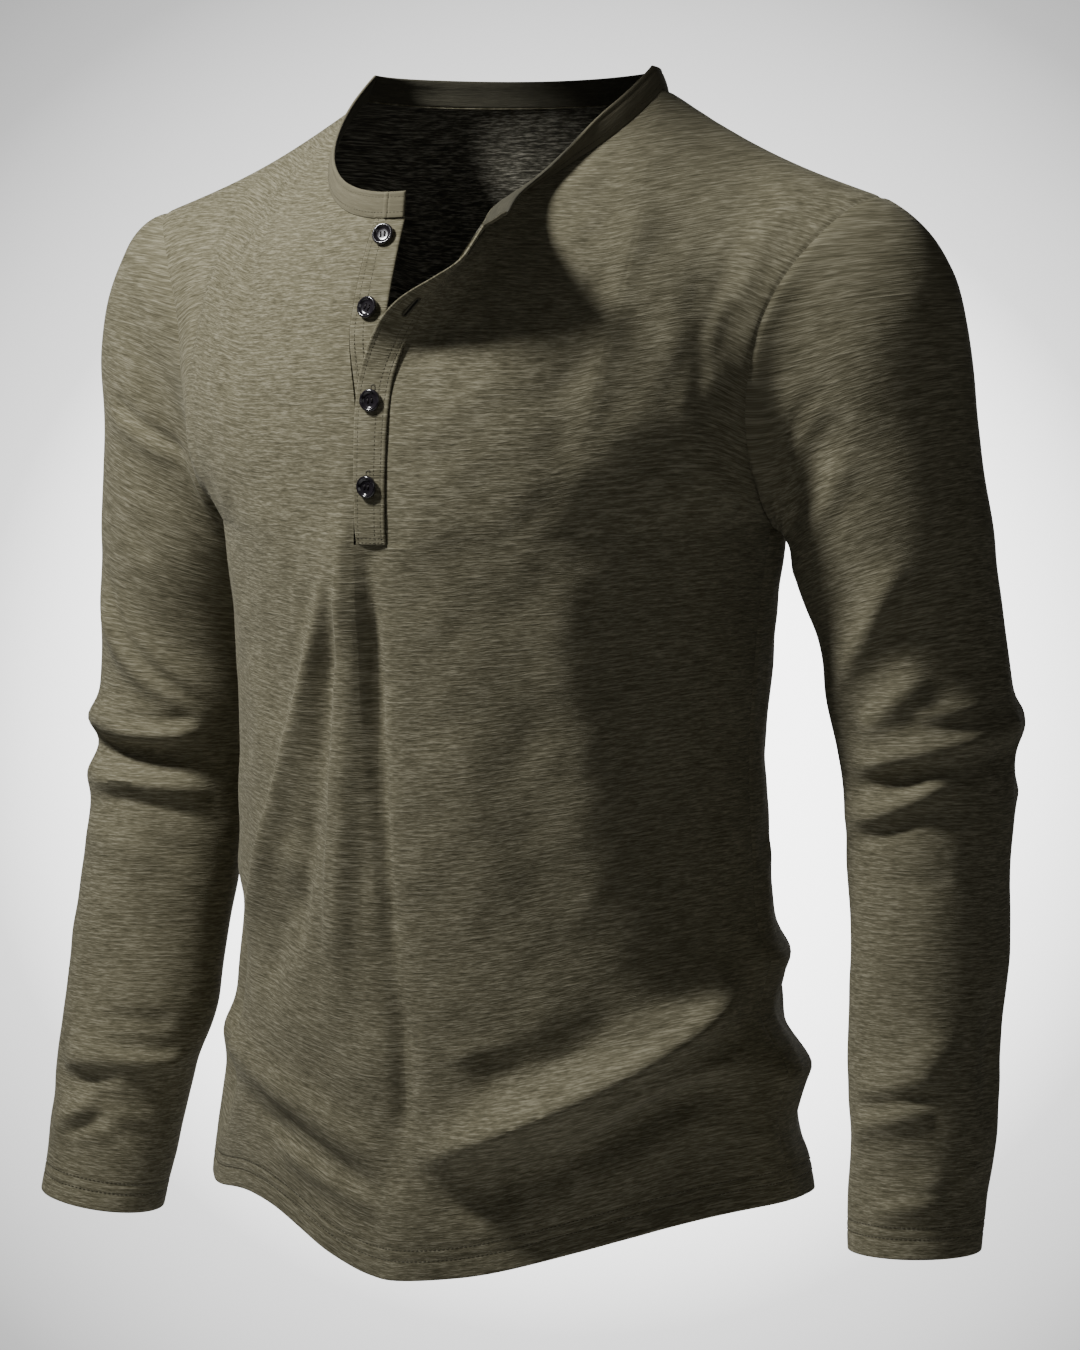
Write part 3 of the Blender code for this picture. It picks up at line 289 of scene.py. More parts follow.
def yoke_point(u, t, front):
    """A point above the armpits; t runs 0..1 from the armpit ring to the neck or shoulder."""
    share = np.abs(u)
    side = np.sign(u)
    one = np.ones_like(share)
    pull_on = ARMPIT_PULL[0 if front else 1]
    low = body_point(u, one, front)
    low_way = unit(low - body_point(u, one * JUST_BELOW, front)) * pull_on
    ways = np.array(FRONT_TOP_WAYS if front else BACK_TOP_WAYS)
    turn = (ease(share / NECK_SHARE) ** NECK_TURN)[..., None]
    spread = ease((share - NECK_SHARE) / (1 - NECK_SHARE))[..., None]
    high_way = ways[0] + (ways[1] - ways[0]) * turn + (ways[2] - ways[1]) * spread
    high_way[..., 0] *= side
    high_way[..., 0] -= side * NECK_LEAN * np.sin(np.pi * np.clip(share / NECK_SHARE, 0.0, 1.0)) ** 2
    point = sweep(low, low_way, soft_top_edge(u, t, front), high_way, t)
    corner = body_point(one, one, front)
    corner_way = unit(corner - body_point(one, one * JUST_BELOW, front)) * pull_on
    edge = sweep(corner, corner_way, top_edge(one, front), np.broadcast_to(ways[2], point.shape), t)
    pull = read_table(ARMHOLE_TABLE, t if front else 2 - t) - edge
    pull = pull * (ramp(share, ARMHOLE_SPAN) ** ARMHOLE_LATE)[..., None]
    pull[..., 0] *= side
    start, peak, end = BRIDGE_SHARES
    bridge = ease((share - start) / (peak - start)) * (1 - ease((share - peak) / (end - peak)))
    pull[..., 1] -= BRIDGE[0 if front else 1] * bridge * np.sin(np.pi * np.clip(t, 0.0, 1.0)) ** 0.7
    return point + pull


def panel_point(u, level, front):
    """level 0..1 is hem to armpit, 1..2 is armpit to neck or shoulder."""
    low = body_point(u, np.clip(level, 0.0, 1.0), front)
    high = yoke_point(u, np.clip(level - 1.0, 0.0, 1.0), front)
    return np.where((level <= 1.0)[..., None], low, high)


SLIDE = 0.0095
# the spans over which it rises upwards, fades away from the centre, and rises forwards
SLIDE_UP = (-0.190, 0.060)
SLIDE_ACROSS = (0.010, 0.085)
SLIDE_AHEAD = (-0.02, -0.06)


def slide_button_side(points):
    """The wearer's right front has slid a little way off the centre above the third button."""
    x, y, z = np.moveaxis(points, -1, 0)
    moved = points.copy()
    moved[..., 0] -= SLIDE * ramp(z, SLIDE_UP) * (1 - ramp(np.abs(x), SLIDE_ACROSS)) * ramp(y, SLIDE_AHEAD)
    return moved


# the line that the flap rolls over, and how far and how tightly it rolls
HINGE_LOW = (0.0065, -0.137, -0.197)
HINGE_HIGH = (0.079, -0.019, -0.022)
HINGE_OUT = (0.27, -0.71, 0.29)
HINGE_BOW = 0.044
HINGE_ROUND = 0.25
HINGE_SWEEP = 0.0113
HINGE_FADE = (0.88, 0.27)
FLAP_ANGLE = 2.32      # radians, when fully turned
FLAP_ROLL = 0.046
FLAP_GATHER = 0.16
FLAP_GATHER_REACH = 0.06
FLAP_RISE = 0.085      # distance along the line until it is fully turned


def turn_out_flap(points):
    """The wearer's left front rolls outwards along a line from the third button to the neck."""
    foot = np.array(HINGE_LOW)
    line = np.array(HINGE_HIGH) - foot
    reach = np.linalg.norm(line)
    along_way = line / reach
    out_way = np.array(HINGE_OUT)
    out_way = unit(out_way - along_way * (out_way @ along_way))
    in_way = np.cross(along_way, out_way)
    if in_way[2] < 0:
        in_way = -in_way
    offset = points - foot
    along = offset @ along_way
    share = along / reach
    bow = 4 * share * (1 - share)
    bend = (bow + np.hypot(bow, HINGE_ROUND)) / 2
    height = offset @ out_way - HINGE_BOW * bend
    beyond = np.clip(offset @ in_way + HINGE_SWEEP * bend, 0.0, None)
    angle = FLAP_ANGLE * ease(along / FLAP_RISE) * (1 - ramp(share, HINGE_FADE))
    length = beyond * (1 - FLAP_GATHER * angle / FLAP_ANGLE * ease(beyond / FLAP_GATHER_REACH))
    steps = 16
    across = np.zeros_like(beyond)
    up = np.zeros_like(beyond)
    for step in range(steps):
        here = angle * ease(length * (step + 0.5) / steps / FLAP_ROLL)
        across = across + np.cos(here) * length / steps
        up = up + np.sin(here) * length / steps
    last = angle * ease(length / FLAP_ROLL)
    shift_in = across - beyond - height * np.sin(last)
    shift_out = up + height * (np.cos(last) - 1)
    return points + shift_in[..., None] * in_way + shift_out[..., None] * out_way


def fold_height(across, z, folds, around=None, steps=14, fade=0.3):
    """Height of all folds at points of the cloth; around is the length of a closed ring."""
    total = np.zeros(np.broadcast(across, z).shape)
    t = np.linspace(0.0, 1.0, steps + 1)[:, None]
    for *path, lift, width in folds:
        start, bend, end = np.array(path).reshape(3, 2)
        curve = start * (1 - t) ** 2 + bend * 2 * t * (1 - t) + end * t ** 2
        nearest = np.full_like(total, np.inf)
        place = np.zeros_like(total)
        for step in range(steps):
            first = curve[step]
            way = curve[step + 1] - first
            side = across - first[0]
            if around:
                side = (side + around / 2) % around - around / 2
            rise = z - first[1]
            part = np.clip((side * way[0] + rise * way[1]) / (way @ way), 0.0, 1.0)
            gap = (side - part * way[0]) ** 2 + (rise - part * way[1]) ** 2
            closer = gap < nearest
            nearest = np.where(closer, gap, nearest)
            place = np.where(closer, (step + part) / steps, place)
        ends = ease(place / fade) * ease((1 - place) / fade)
        total = total + lift * ends * np.exp(-nearest / width ** 2)
    return total


def soft_unevenness(across, along, seed):
    """Worn jersey is never quite smooth: slow swells of under a millimetre."""
    chance = np.random.default_rng(seed)
    total = np.zeros(np.broadcast(across, along).shape)
    for wave, size in SWELLS:
        for _ in range(3):
            turn = chance.uniform(0, np.pi)
            phase = chance.uniform(0, 2 * np.pi)
            path = (across * np.cos(turn) + along * np.sin(turn)) * 2 * np.pi / wave
            beside = across * np.sin(turn) - along * np.cos(turn)
            warp = SWELL_WARP[0] * np.sin(beside * 2 * np.pi / (wave * SWELL_WARP[1]))
            total = total + size * np.sin(path + phase + warp)
    return total


def spaced(start, end, count, close=(0.0008, 0.0022), length=0.25):
    """Even steps with two closer ones at each end, where a seam or an edge is."""
    even = np.linspace(0.0, 1.0, count)
    near = [distance / length for distance in close]
    shares = np.unique(np.concatenate([even, near, [1 - share for share in near]]))
    return start + (end - start) * shares


def run_along(points):
    """Distance from the first point of a path, or from the first row of a grid down each column."""
    steps = np.linalg.norm(np.diff(points, axis=0), axis=-1)
    return np.concatenate([np.zeros_like(steps[:1]), np.cumsum(steps, axis=0)])


def place_item(name, data):
    """Put a mesh, a lamp or a camera into the scene."""
    item = bpy.data.objects.new(name, data)
    bpy.context.collection.objects.link(item)
    return item


def new_piece(name, points, faces, materials):
    """A piece made of points and faces, smooth all over."""
    mesh = bpy.data.meshes.new(name)
    mesh.from_pydata(points, [], faces)
    mesh.shade_smooth()
    for material in materials:
        mesh.materials.append(material)
    mesh.update()
    return place_item(name, mesh)


def tube_faces(rings, sides, closed=False):
    """Quads from each ring of points to the next, and from the last to the first if closed."""
    ring, step = (grid.ravel() for grid in np.meshgrid(
        np.arange(rings if closed else rings - 1), np.arange(sides), indexing="ij"))
    after = (step + 1) % sides
    beyond = (ring + 1) % rings
    return np.stack([ring * sides + step, ring * sides + after,
                     beyond * sides + after, beyond * sides + step], axis=1)


class Cloth:
    """A grid of points on one piece of cloth, with its flat sizes, that is closed into a wall."""

    def __init__(self, name, points, flat, flip, keep=None, ring=False):
        self.name = name
        self.points = points
        self.flat = flat
        self.flip = flip
        self.ring = ring
        rows, columns = points.shape[:2]
        self.keep = np.ones((rows - 1, columns if ring else columns - 1), bool) if keep is None else keep
        self.normals = self.grid_normals()

    def grid_normals(self):
        points = self.points
        if self.ring:
            across = np.roll(points, -1, axis=1) - np.roll(points, 1, axis=1)
        else:
            across = np.gradient(points, axis=1)
        normals = unit(np.cross(across, np.gradient(points, axis=0)))
        return -normals if self.flip else normals

    def rise(self, height):
        self.points = self.points + self.normals * height[..., None]
        self.normals = self.grid_normals()

    def tilt(self):
        self.points = tilt_shoulders(self.points)
        self.normals = self.grid_normals()

    def at(self, rows, columns, lift=0.0):
        """Points and normals at fractional rows and columns."""
        count = self.points.shape[1]
        rows = np.clip(np.asarray(rows, float), 0, self.points.shape[0] - 1.001)
        columns = np.asarray(columns, float)
        if not self.ring:
            columns = np.clip(columns, 0, count - 1.001)
        row = rows.astype(int)
        column = np.floor(columns).astype(int)
        part_row = (rows - row)[:, None]
        part_column = (columns - column)[:, None]
        after = (column + 1) % count
        column = column % count
        found = []
        for grid in (self.points, self.normals):
            low = grid[row, column] * (1 - part_column) + grid[row, after] * part_column
            high = grid[row + 1, column] * (1 - part_column) + grid[row + 1, after] * part_column
            found.append(low * (1 - part_row) + high * part_row)
        normals = unit(found[1])
        return found[0] + normals * lift, normals

    def sew(self, outer, inner, materials):
        """Close the grid into a wall; outer and inner are distances along the normals."""
        rows, columns = self.points.shape[:2]
        index = np.arange(rows * columns).reshape(rows, columns)
        row, column = np.nonzero(self.keep)
        after = (column + 1) % columns
        corners = np.stack([index[row, column], index[row, after],
                            index[row + 1, after], index[row + 1, column]], axis=1)
        flats = np.stack([self.flat[row, column], self.flat[row, column + 1],
                          self.flat[row + 1, column + 1], self.flat[row + 1, column]], axis=1)
        if self.flip:
            corners = corners[:, ::-1]
            flats = flats[:, ::-1]
        total = rows * columns
        starts = corners.ravel()
        ends = np.roll(corners, -1, axis=1).ravel()
        keys = starts * total + ends
        alone = ~np.isin(keys, ends * total + starts)
        start_flats = flats.reshape(-1, 2)[alone]
        end_flats = np.roll(flats, -1, axis=1).reshape(-1, 2)[alone]
        edge_start = starts[alone]
        edge_end = ends[alone]
        rim = np.stack([edge_end, edge_start, edge_start + total, edge_end + total], axis=1)
        rim_flats = np.stack([end_flats, start_flats, start_flats, end_flats], axis=1)
        faces = np.concatenate([corners, corners[:, ::-1] + total, rim])
        face_flats = np.concatenate([flats, flats[:, ::-1], rim_flats])
        outer = np.broadcast_to(outer, (rows, columns))[..., None]
        inner = np.broadcast_to(inner, (rows, columns))[..., None]
        layers = np.concatenate([
            (self.points + self.normals * outer).reshape(-1, 3),
            (self.points + self.normals * inner).reshape(-1, 3),
        ])
        used = np.unique(faces)
        place = np.zeros(len(layers), int)
        place[used] = np.arange(len(used))
        piece = new_piece(self.name, layers[used].tolist(), place[faces].tolist(), materials)
        mesh = piece.data
        mesh.set_sharp_from_angle(angle=1.1)
        layer = mesh.uv_layers.new(name="cloth")
        layer.data.foreach_set("uv", face_flats.reshape(-1, 2).astype(np.float32).ravel())
        # the inner faces take the last material: for the panels, sleeves and neckband that is a darker copy
        # of the jersey, painted shade for the inside
        inside = np.zeros(len(faces), np.int32)
        inside[len(corners):2 * len(corners)] = len(materials) - 1
        mesh.polygons.foreach_set("material_index", inside)
        mesh.update()
        return piece


def set_inputs(node, inputs):
    """Each input gets a value, or a link from the output given for it."""
    for socket, value in inputs.items():
        if isinstance(value, bpy.types.NodeSocket):
            node.id_data.links.new(value, node.inputs[socket])
        else:
            node.inputs[socket].default_value = value


def add_node(tree, kind, inputs, **settings):
    """A new shader node's outputs."""
    node = tree.nodes.new("ShaderNode" + kind)
    for name, value in settings.items():
        setattr(node, name, value)
    set_inputs(node, inputs)
    return node.outputs


def mix_colours(tree, share, first, second):
    return add_node(tree, "Mix", {0: share, 6: first, 7: second}, data_type="RGBA")[2]


def new_group(name, inputs, outputs):
    """An empty node group, the outputs of its start and its end."""
    group = bpy.data.node_groups.new(name, "ShaderNodeTree")
    for way, sockets in (("INPUT", inputs), ("OUTPUT", outputs)):
        for label, kind in sockets.items():
            group.interface.new_socket(label, in_out=way, socket_type="NodeSocket" + kind)
    return group, group.nodes.new("NodeGroupInput").outputs, group.nodes.new("NodeGroupOutput")


def new_material(name, inputs):
    """A material with these plain values on its shader."""
    material = bpy.data.materials.new(name)
    material.use_nodes = True
    shader = material.node_tree.nodes["Principled BSDF"]
    set_inputs(shader, inputs)
    return material, material.node_tree, shader


def slub_group():
    """Slub yarn: courses of uneven thickness across the cloth, with knots and a fine knit."""
    group, start, end = new_group(
        "slub_yarn",
        {"Cloth": "Vector", "Base": "Color", "Dark Yarn": "Color", "Light Yarn": "Color", "Slub": "Float"},
        {"Colour": "Color", "Height": "Float", "Roughness": "Float"})

    def yarn(across, along, detail, low, high):
        stretch = add_node(group, "VectorMath", {0: start["Cloth"], 1: (across, along, 1.0)},
                           operation="MULTIPLY")
        noise = add_node(group, "TexNoise", {"Vector": stretch[0], "Scale": 1.0, "Detail": detail,
                                             "Roughness": 0.55})
        return add_node(group, "MapRange", {"Value": noise["Fac"], "From Min": low, "From Max": high})[0]

    def blend(kind, first, second):
        return add_node(group, "Math", {0: first, 1: second}, operation=kind)[0]

    coarse = yarn(62.0, 680.0, 3.0, 0.28, 0.72)
    fine = yarn(190.0, 1500.0, 2.0, 0.30, 0.70)
    knots = yarn(40.0, 520.0, 1.0, 0.60, 0.78)
    patches = yarn(9.0, 16.0, 2.0, 0.30, 0.70)
    mixed = blend("ADD", blend("MULTIPLY", coarse, 0.55), blend("MULTIPLY", fine, 0.45))
    level = blend("ADD", blend("MULTIPLY", blend("SUBTRACT", mixed, 0.5), start["Slub"]), 0.5)
    level = blend("ADD", level, blend("MULTIPLY", blend("SUBTRACT", patches, 0.5), 0.10))
    level = blend("ADD", level, blend("MULTIPLY", knots, 0.16))
    shade = add_node(group, "MapRange", {"Value": level, "From Max": 0.5})[0]
    shine = add_node(group, "MapRange", {"Value": level, "From Min": 0.5})[0]
    dark = mix_colours(group, shade, start["Dark Yarn"], start["Base"])
    set_inputs(end, {"Colour": mix_colours(group, shine, dark, start["Light Yarn"]),
                     "Height": blend("ADD", mixed, blend("MULTIPLY", knots, 0.5)),
                     "Roughness": blend("ADD", blend("MULTIPLY", fine, 0.10), 0.84)})
    return group


slub_yarn = slub_group()


def jersey_material(name, base, dark, light, slub, bump):
    material, tree, shader = new_material(name, {
        "Metallic": 0.0, "Specular IOR Level": 0.22, "Sheen Weight": 0.12, "Sheen Roughness": 0.55,
        "Sheen Tint": (0.75, 0.72, 0.58, 1.0)})
    cloth = add_node(tree, "UVMap", {}, uv_map="cloth")
    yarn = add_node(tree, "Group", {"Cloth": cloth["UV"], "Base": (*base, 1.0), "Dark Yarn": (*dark, 1.0),
                                    "Light Yarn": (*light, 1.0), "Slub": slub}, node_tree=slub_yarn)
    relief = add_node(tree, "Bump", {"Height": yarn["Height"], "Strength": bump, "Distance": 0.0005})
    set_inputs(shader, {"Base Color": yarn["Colour"], "Roughness": yarn["Roughness"],
                        "Normal": relief["Normal"]})
    return material


olive_jersey = jersey_material(
    "olive_slub_jersey", (0.150, 0.137, 0.086), (0.080, 0.072, 0.041), (0.270, 0.250, 0.174), 1.6, 0.60)
# the same jersey made darker: painted shade for the inside of the shirt, where little light reaches
olive_jersey_inside_painted_shade = jersey_material(
    "olive_slub_jersey_inside_painted_shade", (0.075, 0.071, 0.052), (0.020, 0.018, 0.013),
    (0.300, 0.285, 0.230), 2.0, 0.6)


def thread_group():
    """Spun thread: a fine twist makes it lighter and darker along its length."""
    group, start, end = new_group("thread_twist", {"Place": "Vector", "Dark": "Color", "Light": "Color"},
                                  {"Colour": "Color", "Height": "Float"})
    twist = add_node(group, "TexNoise", {"Vector": start["Place"], "Scale": 2400.0})["Fac"]
    set_inputs(end, {"Colour": mix_colours(group, twist, start["Dark"], start["Light"]), "Height": twist})
    return group


thread_twist = thread_group()


def thread_material(name, colour, roughness):
    material, tree, shader = new_material(name, {"Roughness": roughness, "Specular IOR Level": 0.3})
    dark, light = ((*[part * share for part in colour], 1.0) for share in (0.75, 1.25))
    place = add_node(tree, "TexCoord", {})
    twist = add_node(tree, "Group", {"Place": place["Object"], "Dark": dark, "Light": light},
                     node_tree=thread_twist)
    relief = add_node(tree, "Bump", {"Height": twist["Height"], "Strength": 0.3, "Distance": 0.0001})
    set_inputs(shader, {"Base Color": twist["Colour"], "Normal": relief["Normal"]})
    return material


olive_thread = thread_material("olive_thread", (0.085, 0.077, 0.048), 0.6)


# how far along each stitch, how thick and how high its four rings are
STITCH_RINGS = ((0.0, 0.35, -0.6), (0.25, 0.95, 0.3), (0.75, 0.95, 0.3), (1.0, 0.35, -0.6))
STITCH_FLAT = 0.8


def stitch_row(path, normals, pitch=0.0026, length=0.0020, radius=0.00026, sides=6):
    """Corner points and faces for one row of stitches lying along a path on the cloth."""
    run = run_along(path)
    count = max(1, int(run[-1] / pitch))
    middles = (np.arange(count) + 0.5) * run[-1] / count

    def beside(values, shift):
        return np.stack([np.interp(middles + shift, run, values[:, axis]) for axis in range(3)], axis=1)

    first = beside(path, -length / 2)
    last = beside(path, length / 2)
    way = unit(last - first)
    side = unit(np.cross(unit(beside(normals, 0.0)), way))
    up = np.cross(way, side)
    angle = (np.arange(sides) * 2 * np.pi / sides)[:, None]
    corners = []
    for share, size, lift in STITCH_RINGS:
        middle = first + (last - first) * share + up * radius * lift
        ring = side[:, None] * np.cos(angle) + up[:, None] * np.sin(angle) * STITCH_FLAT
        corners.append(middle[:, None] + ring * radius * size)
    caps = np.array([range(sides)[::-1], range(3 * sides, 4 * sides)])
    shift = (np.arange(count) * 4 * sides)[:, None, None]
    return (np.stack(corners, axis=1).reshape(-1, 3), (tube_faces(4, sides) + shift).reshape(-1, 4),
            (caps + shift).reshape(-1, sides))


def sew_stitches(name, rows, thread, **sizes):
    """Rows of stitches as one piece; rows are (path, normals) pairs."""
    points = []
    faces = []
    for path, normals in rows:
        corners, quads, caps = stitch_row(path, normals, **sizes)
        faces += (quads + len(points)).tolist() + (caps + len(points)).tolist()
        points += corners.tolist()
    return new_piece(name, points, faces, [thread])


def edge_rows(cloth, distance):
    """For each column, the fractional row at a distance above the first row."""
    run = run_along(cloth.points)
    places = np.arange(run.shape[0])
    return np.array([np.interp(distance, run[:, column], places) for column in range(run.shape[1])])


def rounded_edge(distance, thickness, reach=0.0008):
    """Outer and inner distances of a wall that thins round a free edge."""
    full = np.sqrt(np.clip(1 - (1 - np.clip(distance / reach, 0, 1)) ** 2, 0.05, 1.0))
    return -thickness / 2 * (1 - full), -thickness / 2 * (1 + full)


def seam_dip(distance, depth=0.0007, width=0.0022):
    """Cloth dips where a seam pulls it in."""
    return -depth * np.exp(-(distance / width) ** 2)


def stitch_groove(distance, places, depth, width):
    """Each row of stitches presses a fine line into the doubled cloth."""
    return -depth * sum(np.exp(-((distance - place) / width) ** 2) for place in places)


def hem_groove(distance):
    return stitch_groove(distance, HEM_STITCHES, *HEM_GROOVE)


def seam_pucker(distance, along, seed, height=0.00016, wave=0.011, slow_wave=0.047, reach=0.008):
    """Short ripples square to a seam, dying away from it."""
    slow = 1.5 * np.sin(along * 2 * np.pi / slow_wave + seed)
    return height * np.sin(along * 2 * np.pi / wave + seed + slow) * np.exp(-(distance / reach) ** 2)


hem_levels = np.array([0.0003, 0.0008, 0.002, 0.006, 0.0100, 0.0115, 0.0130, 0.0148, 0.0165, 0.0180, 0.0195])
skirt_levels = np.unique(np.concatenate([hem_levels / SKIRT_LENGTH, np.linspace(0.0, 1.0, 122)]))
body_levels = np.concatenate([skirt_levels, spaced(1.0, 2.0, 66, length=YOKE_LENGTH)[1:]])
armpit_row = len(skirt_levels) - 1
shoulder_shares = spaced(NECK_SHARE, 1.0, 46, length=SHOULDER_RUN)[1:]
front_half = np.concatenate([spaced(PLACKET_SHARE, NECK_SHARE, 38, length=NECK_RUNS[0]), shoulder_shares])
strip_shares = np.linspace(-PLACKET_SHARE, PLACKET_SHARE, 7)[1:-1]
front_shares = np.concatenate([-front_half[::-1], strip_shares, front_half])
slit_left = len(front_half) + len(strip_shares)
slit_right = len(front_half) - 1
back_half = np.concatenate([spaced(0.0, NECK_SHARE, 34, length=NECK_RUNS[1]), shoulder_shares])
back_shares = np.concatenate([-back_half[:0:-1], back_half])


def flat_sizes(points, u, level, front, start):
    """Where each point of a body panel lies in the flat cloth, in metres; courses run level."""
    t = np.clip(level - 1, 0, 1)
    round_body = np.arctan2(points[..., 0], np.abs(points[..., 1] + 0.004)) * PANEL_HALF * 2 / np.pi
    across = round_body * (1 - ease(t)) + ease(t) * points[..., 0] * YOKE_SPREAD
    outward = np.abs(u) ** 1.5
    from_height, further_out, from_depth = YOKE_STRETCH
    ahead = (from_depth if front else -from_depth) * (1 - outward)
    reach = (from_height + further_out * outward) * points[..., 2] + ahead * points[..., 1]
    along = np.where(level <= 1, level * SKIRT_LENGTH, SKIRT_LENGTH + reach - reach[armpit_row])
    return np.stack([across + start, along + start * YARN_SHIFT], axis=-1)


def panel_distances(u, level):
    """Distances over the cloth from the hem, the side or armhole, the top edge and the slit."""
    along = np.where(level <= 1, level * SKIRT_LENGTH, SKIRT_LENGTH + (level - 1) * YOKE_LENGTH)
    side = (1 - np.abs(u)) * PANEL_HALF
    top = (2 - level) * YOKE_LENGTH
    slit = np.where(level > 1, np.clip(np.abs(u) - PLACKET_SHARE, 0, None) * PANEL_HALF, 1.0)
    return along, side, top, slit


def panel_height(across, z, u, level, slit, seed):
    """All the relief of a body panel before its seams are drawn in."""
    along, side, top, _ = panel_distances(u, level)
    near_side, near_top, near_slit = CALM_REACHES
    calm = ease(side / near_side) * ease(top / near_top) * ease(slit / near_slit)
    pucker = np.where(level > 1, seam_pucker(side, along, seed), 0.0)
    return (fold_height(across, z, BODY_FOLDS) + soft_unevenness(u * PANEL_HALF, along, seed) * calm
            + pucker * ease(side / SEAM_REACH) * ease(top / 0.02))


def join_panels():
    """The panels share their points and their lean along the side and shoulder seams."""
    shoulder = len(shoulder_shares) + 1
    side = slice(0, armpit_row + 1)
    for here in ((side, 0), (side, -1), (-1, slice(None, shoulder)), (-1, slice(-shoulder, None))):
        middle = (front.points[here] + back.points[here]) / 2
        lean = unit(front.normals[here] + back.normals[here])
        for panel in (front, back):
            panel.points[here] = middle
            panel.normals[here] = lean


front_u, front_level = np.meshgrid(front_shares, body_levels)
points = panel_point(front_u, front_level, True)
front_flat = flat_sizes(points, front_u, front_level, True, 3.0)
front_z = points[..., 2]
points = np.where(((front_u > 0) & (front_level > 1))[..., None], turn_out_flap(points), points)
points = np.where(((front_u < 0) & (front_level > 1))[..., None], slide_button_side(points), points)
front_keep = np.ones((len(body_levels) - 1, len(front_shares) - 1), bool)
front_keep[armpit_row:, slit_right:slit_left] = False
front = Cloth("front_panel", points, front_flat, False, front_keep)
back_u, back_level = np.meshgrid(back_shares, body_levels)
points = panel_point(back_u, back_level, False)
back_flat = flat_sizes(points, back_u, back_level, False, 5.0)
back_z = points[..., 2]
back = Cloth("back_panel", points, back_flat, True)
join_panels()
front_along, front_side, front_top, front_slit = panel_distances(front_u, front_level)
back_along, back_side, back_top, _ = panel_distances(back_u, back_level)
back_across = np.where(back_u < 0, -1.0, 1.0) * (2 - np.abs(back_u)) * PANEL_HALF
front.rise(panel_height(front_u * PANEL_HALF, front_z, front_u, front_level, front_slit, 11))
back.rise(panel_height(back_across, back_z, back_u, back_level, 1.0, 23))
join_panels()
front.rise(seam_dip(front_side) + seam_dip(front_top) + 0.6 * seam_dip(front_slit) + hem_groove(front_along))
back.rise(seam_dip(back_side) + seam_dip(back_top) + hem_groove(back_along))
join_panels()
front.tilt()
back.tilt()
join_panels()


def hem_stitching(name, cloth):
    """The two rows of stitches that hold the turned-up hem."""
    count = cloth.points.shape[1]
    columns = np.arange(0, count if cloth.ring else count - 1, 0.5)
    paths = []
    for distance in HEM_STITCHES:
        at = edge_rows(cloth, distance)
        rows = np.interp(columns, np.arange(count + 1), np.append(at, at[0]))
        paths.append(cloth.at(rows, columns, 0.0001))
    return sew_stitches(name, paths, olive_thread)


for cloth, along, node, cut in (
    (front, front_along, "front", FRONT_CUT),
    (back, back_along, "back", BACK_CUT),
):
    outer, inner = rounded_edge(along, JERSEY)
    panel = cloth.sew(outer, inner, (olive_jersey, olive_jersey_inside_painted_shade))
    stitching = hem_stitching(node + "_hem_stitching", cloth)
    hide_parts(node)
    for piece in (panel, stitching):
        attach(piece, "root")


# ================================================================ the sleeves
# Each is one piece of jersey with a rounded cap, closed under the arm and set into the armhole. The
# cuff is turned up and held by two rows of stitches; the cloth bunches at the bent elbow.
SLEEVE_ROUND = 0.30
CAP_LENGTH = 0.16
ARM_LENGTH = 0.40
RIGHT_CUFF_DROP = 0.015
RIGHT_CUFF_SLANT = 0.0065
DROP_SPAN = (-0.20, -0.40)             # heights over which they grow
SLANT_SPAN = (-0.50, -0.15)
UNDERARM_WAY = (0.70, 0.0, -0.71)      # in which the sleeve leaves the armpit
UNDERARM_SHARE = 0.45                  # of the armhole's height that leaves in this way
CAP_PULLS = (1.05, 1.15)               # how far the cap runs on straight at the seam and at the arm
CAP_CALM = 0.012                       # no folds or unevenness this near to the armhole
SEAM_JOIN = 0.02                       # over which the sleeve is drawn on to the armhole's points
SLEEVE_RADIUS = 0.05
# along, x, y, z, across, deep, tilt
SLEEVE_TABLE = thousandths(
    (0, 240, 22, -262, 54.5, 56, 20),
    (130, 248.5, 29, -313, 52.7, 54, 10),
    (240, 253.5, 34, -357, 52, 54, 4),
    (330, 257.5, 31, -391, 49.5, 50.5, 0),
    (420, 262, 25, -426, 47.4, 48.2, 0),
    (590, 268, 12, -494, 45.2, 46, 0),
    (760, 272, -2, -562, 42.5, 43.5, 0),
    (890, 275.5, -13, -613, 40, 41, 0),
    (1000, 278, -24, -654, 37, 38, 0),
)
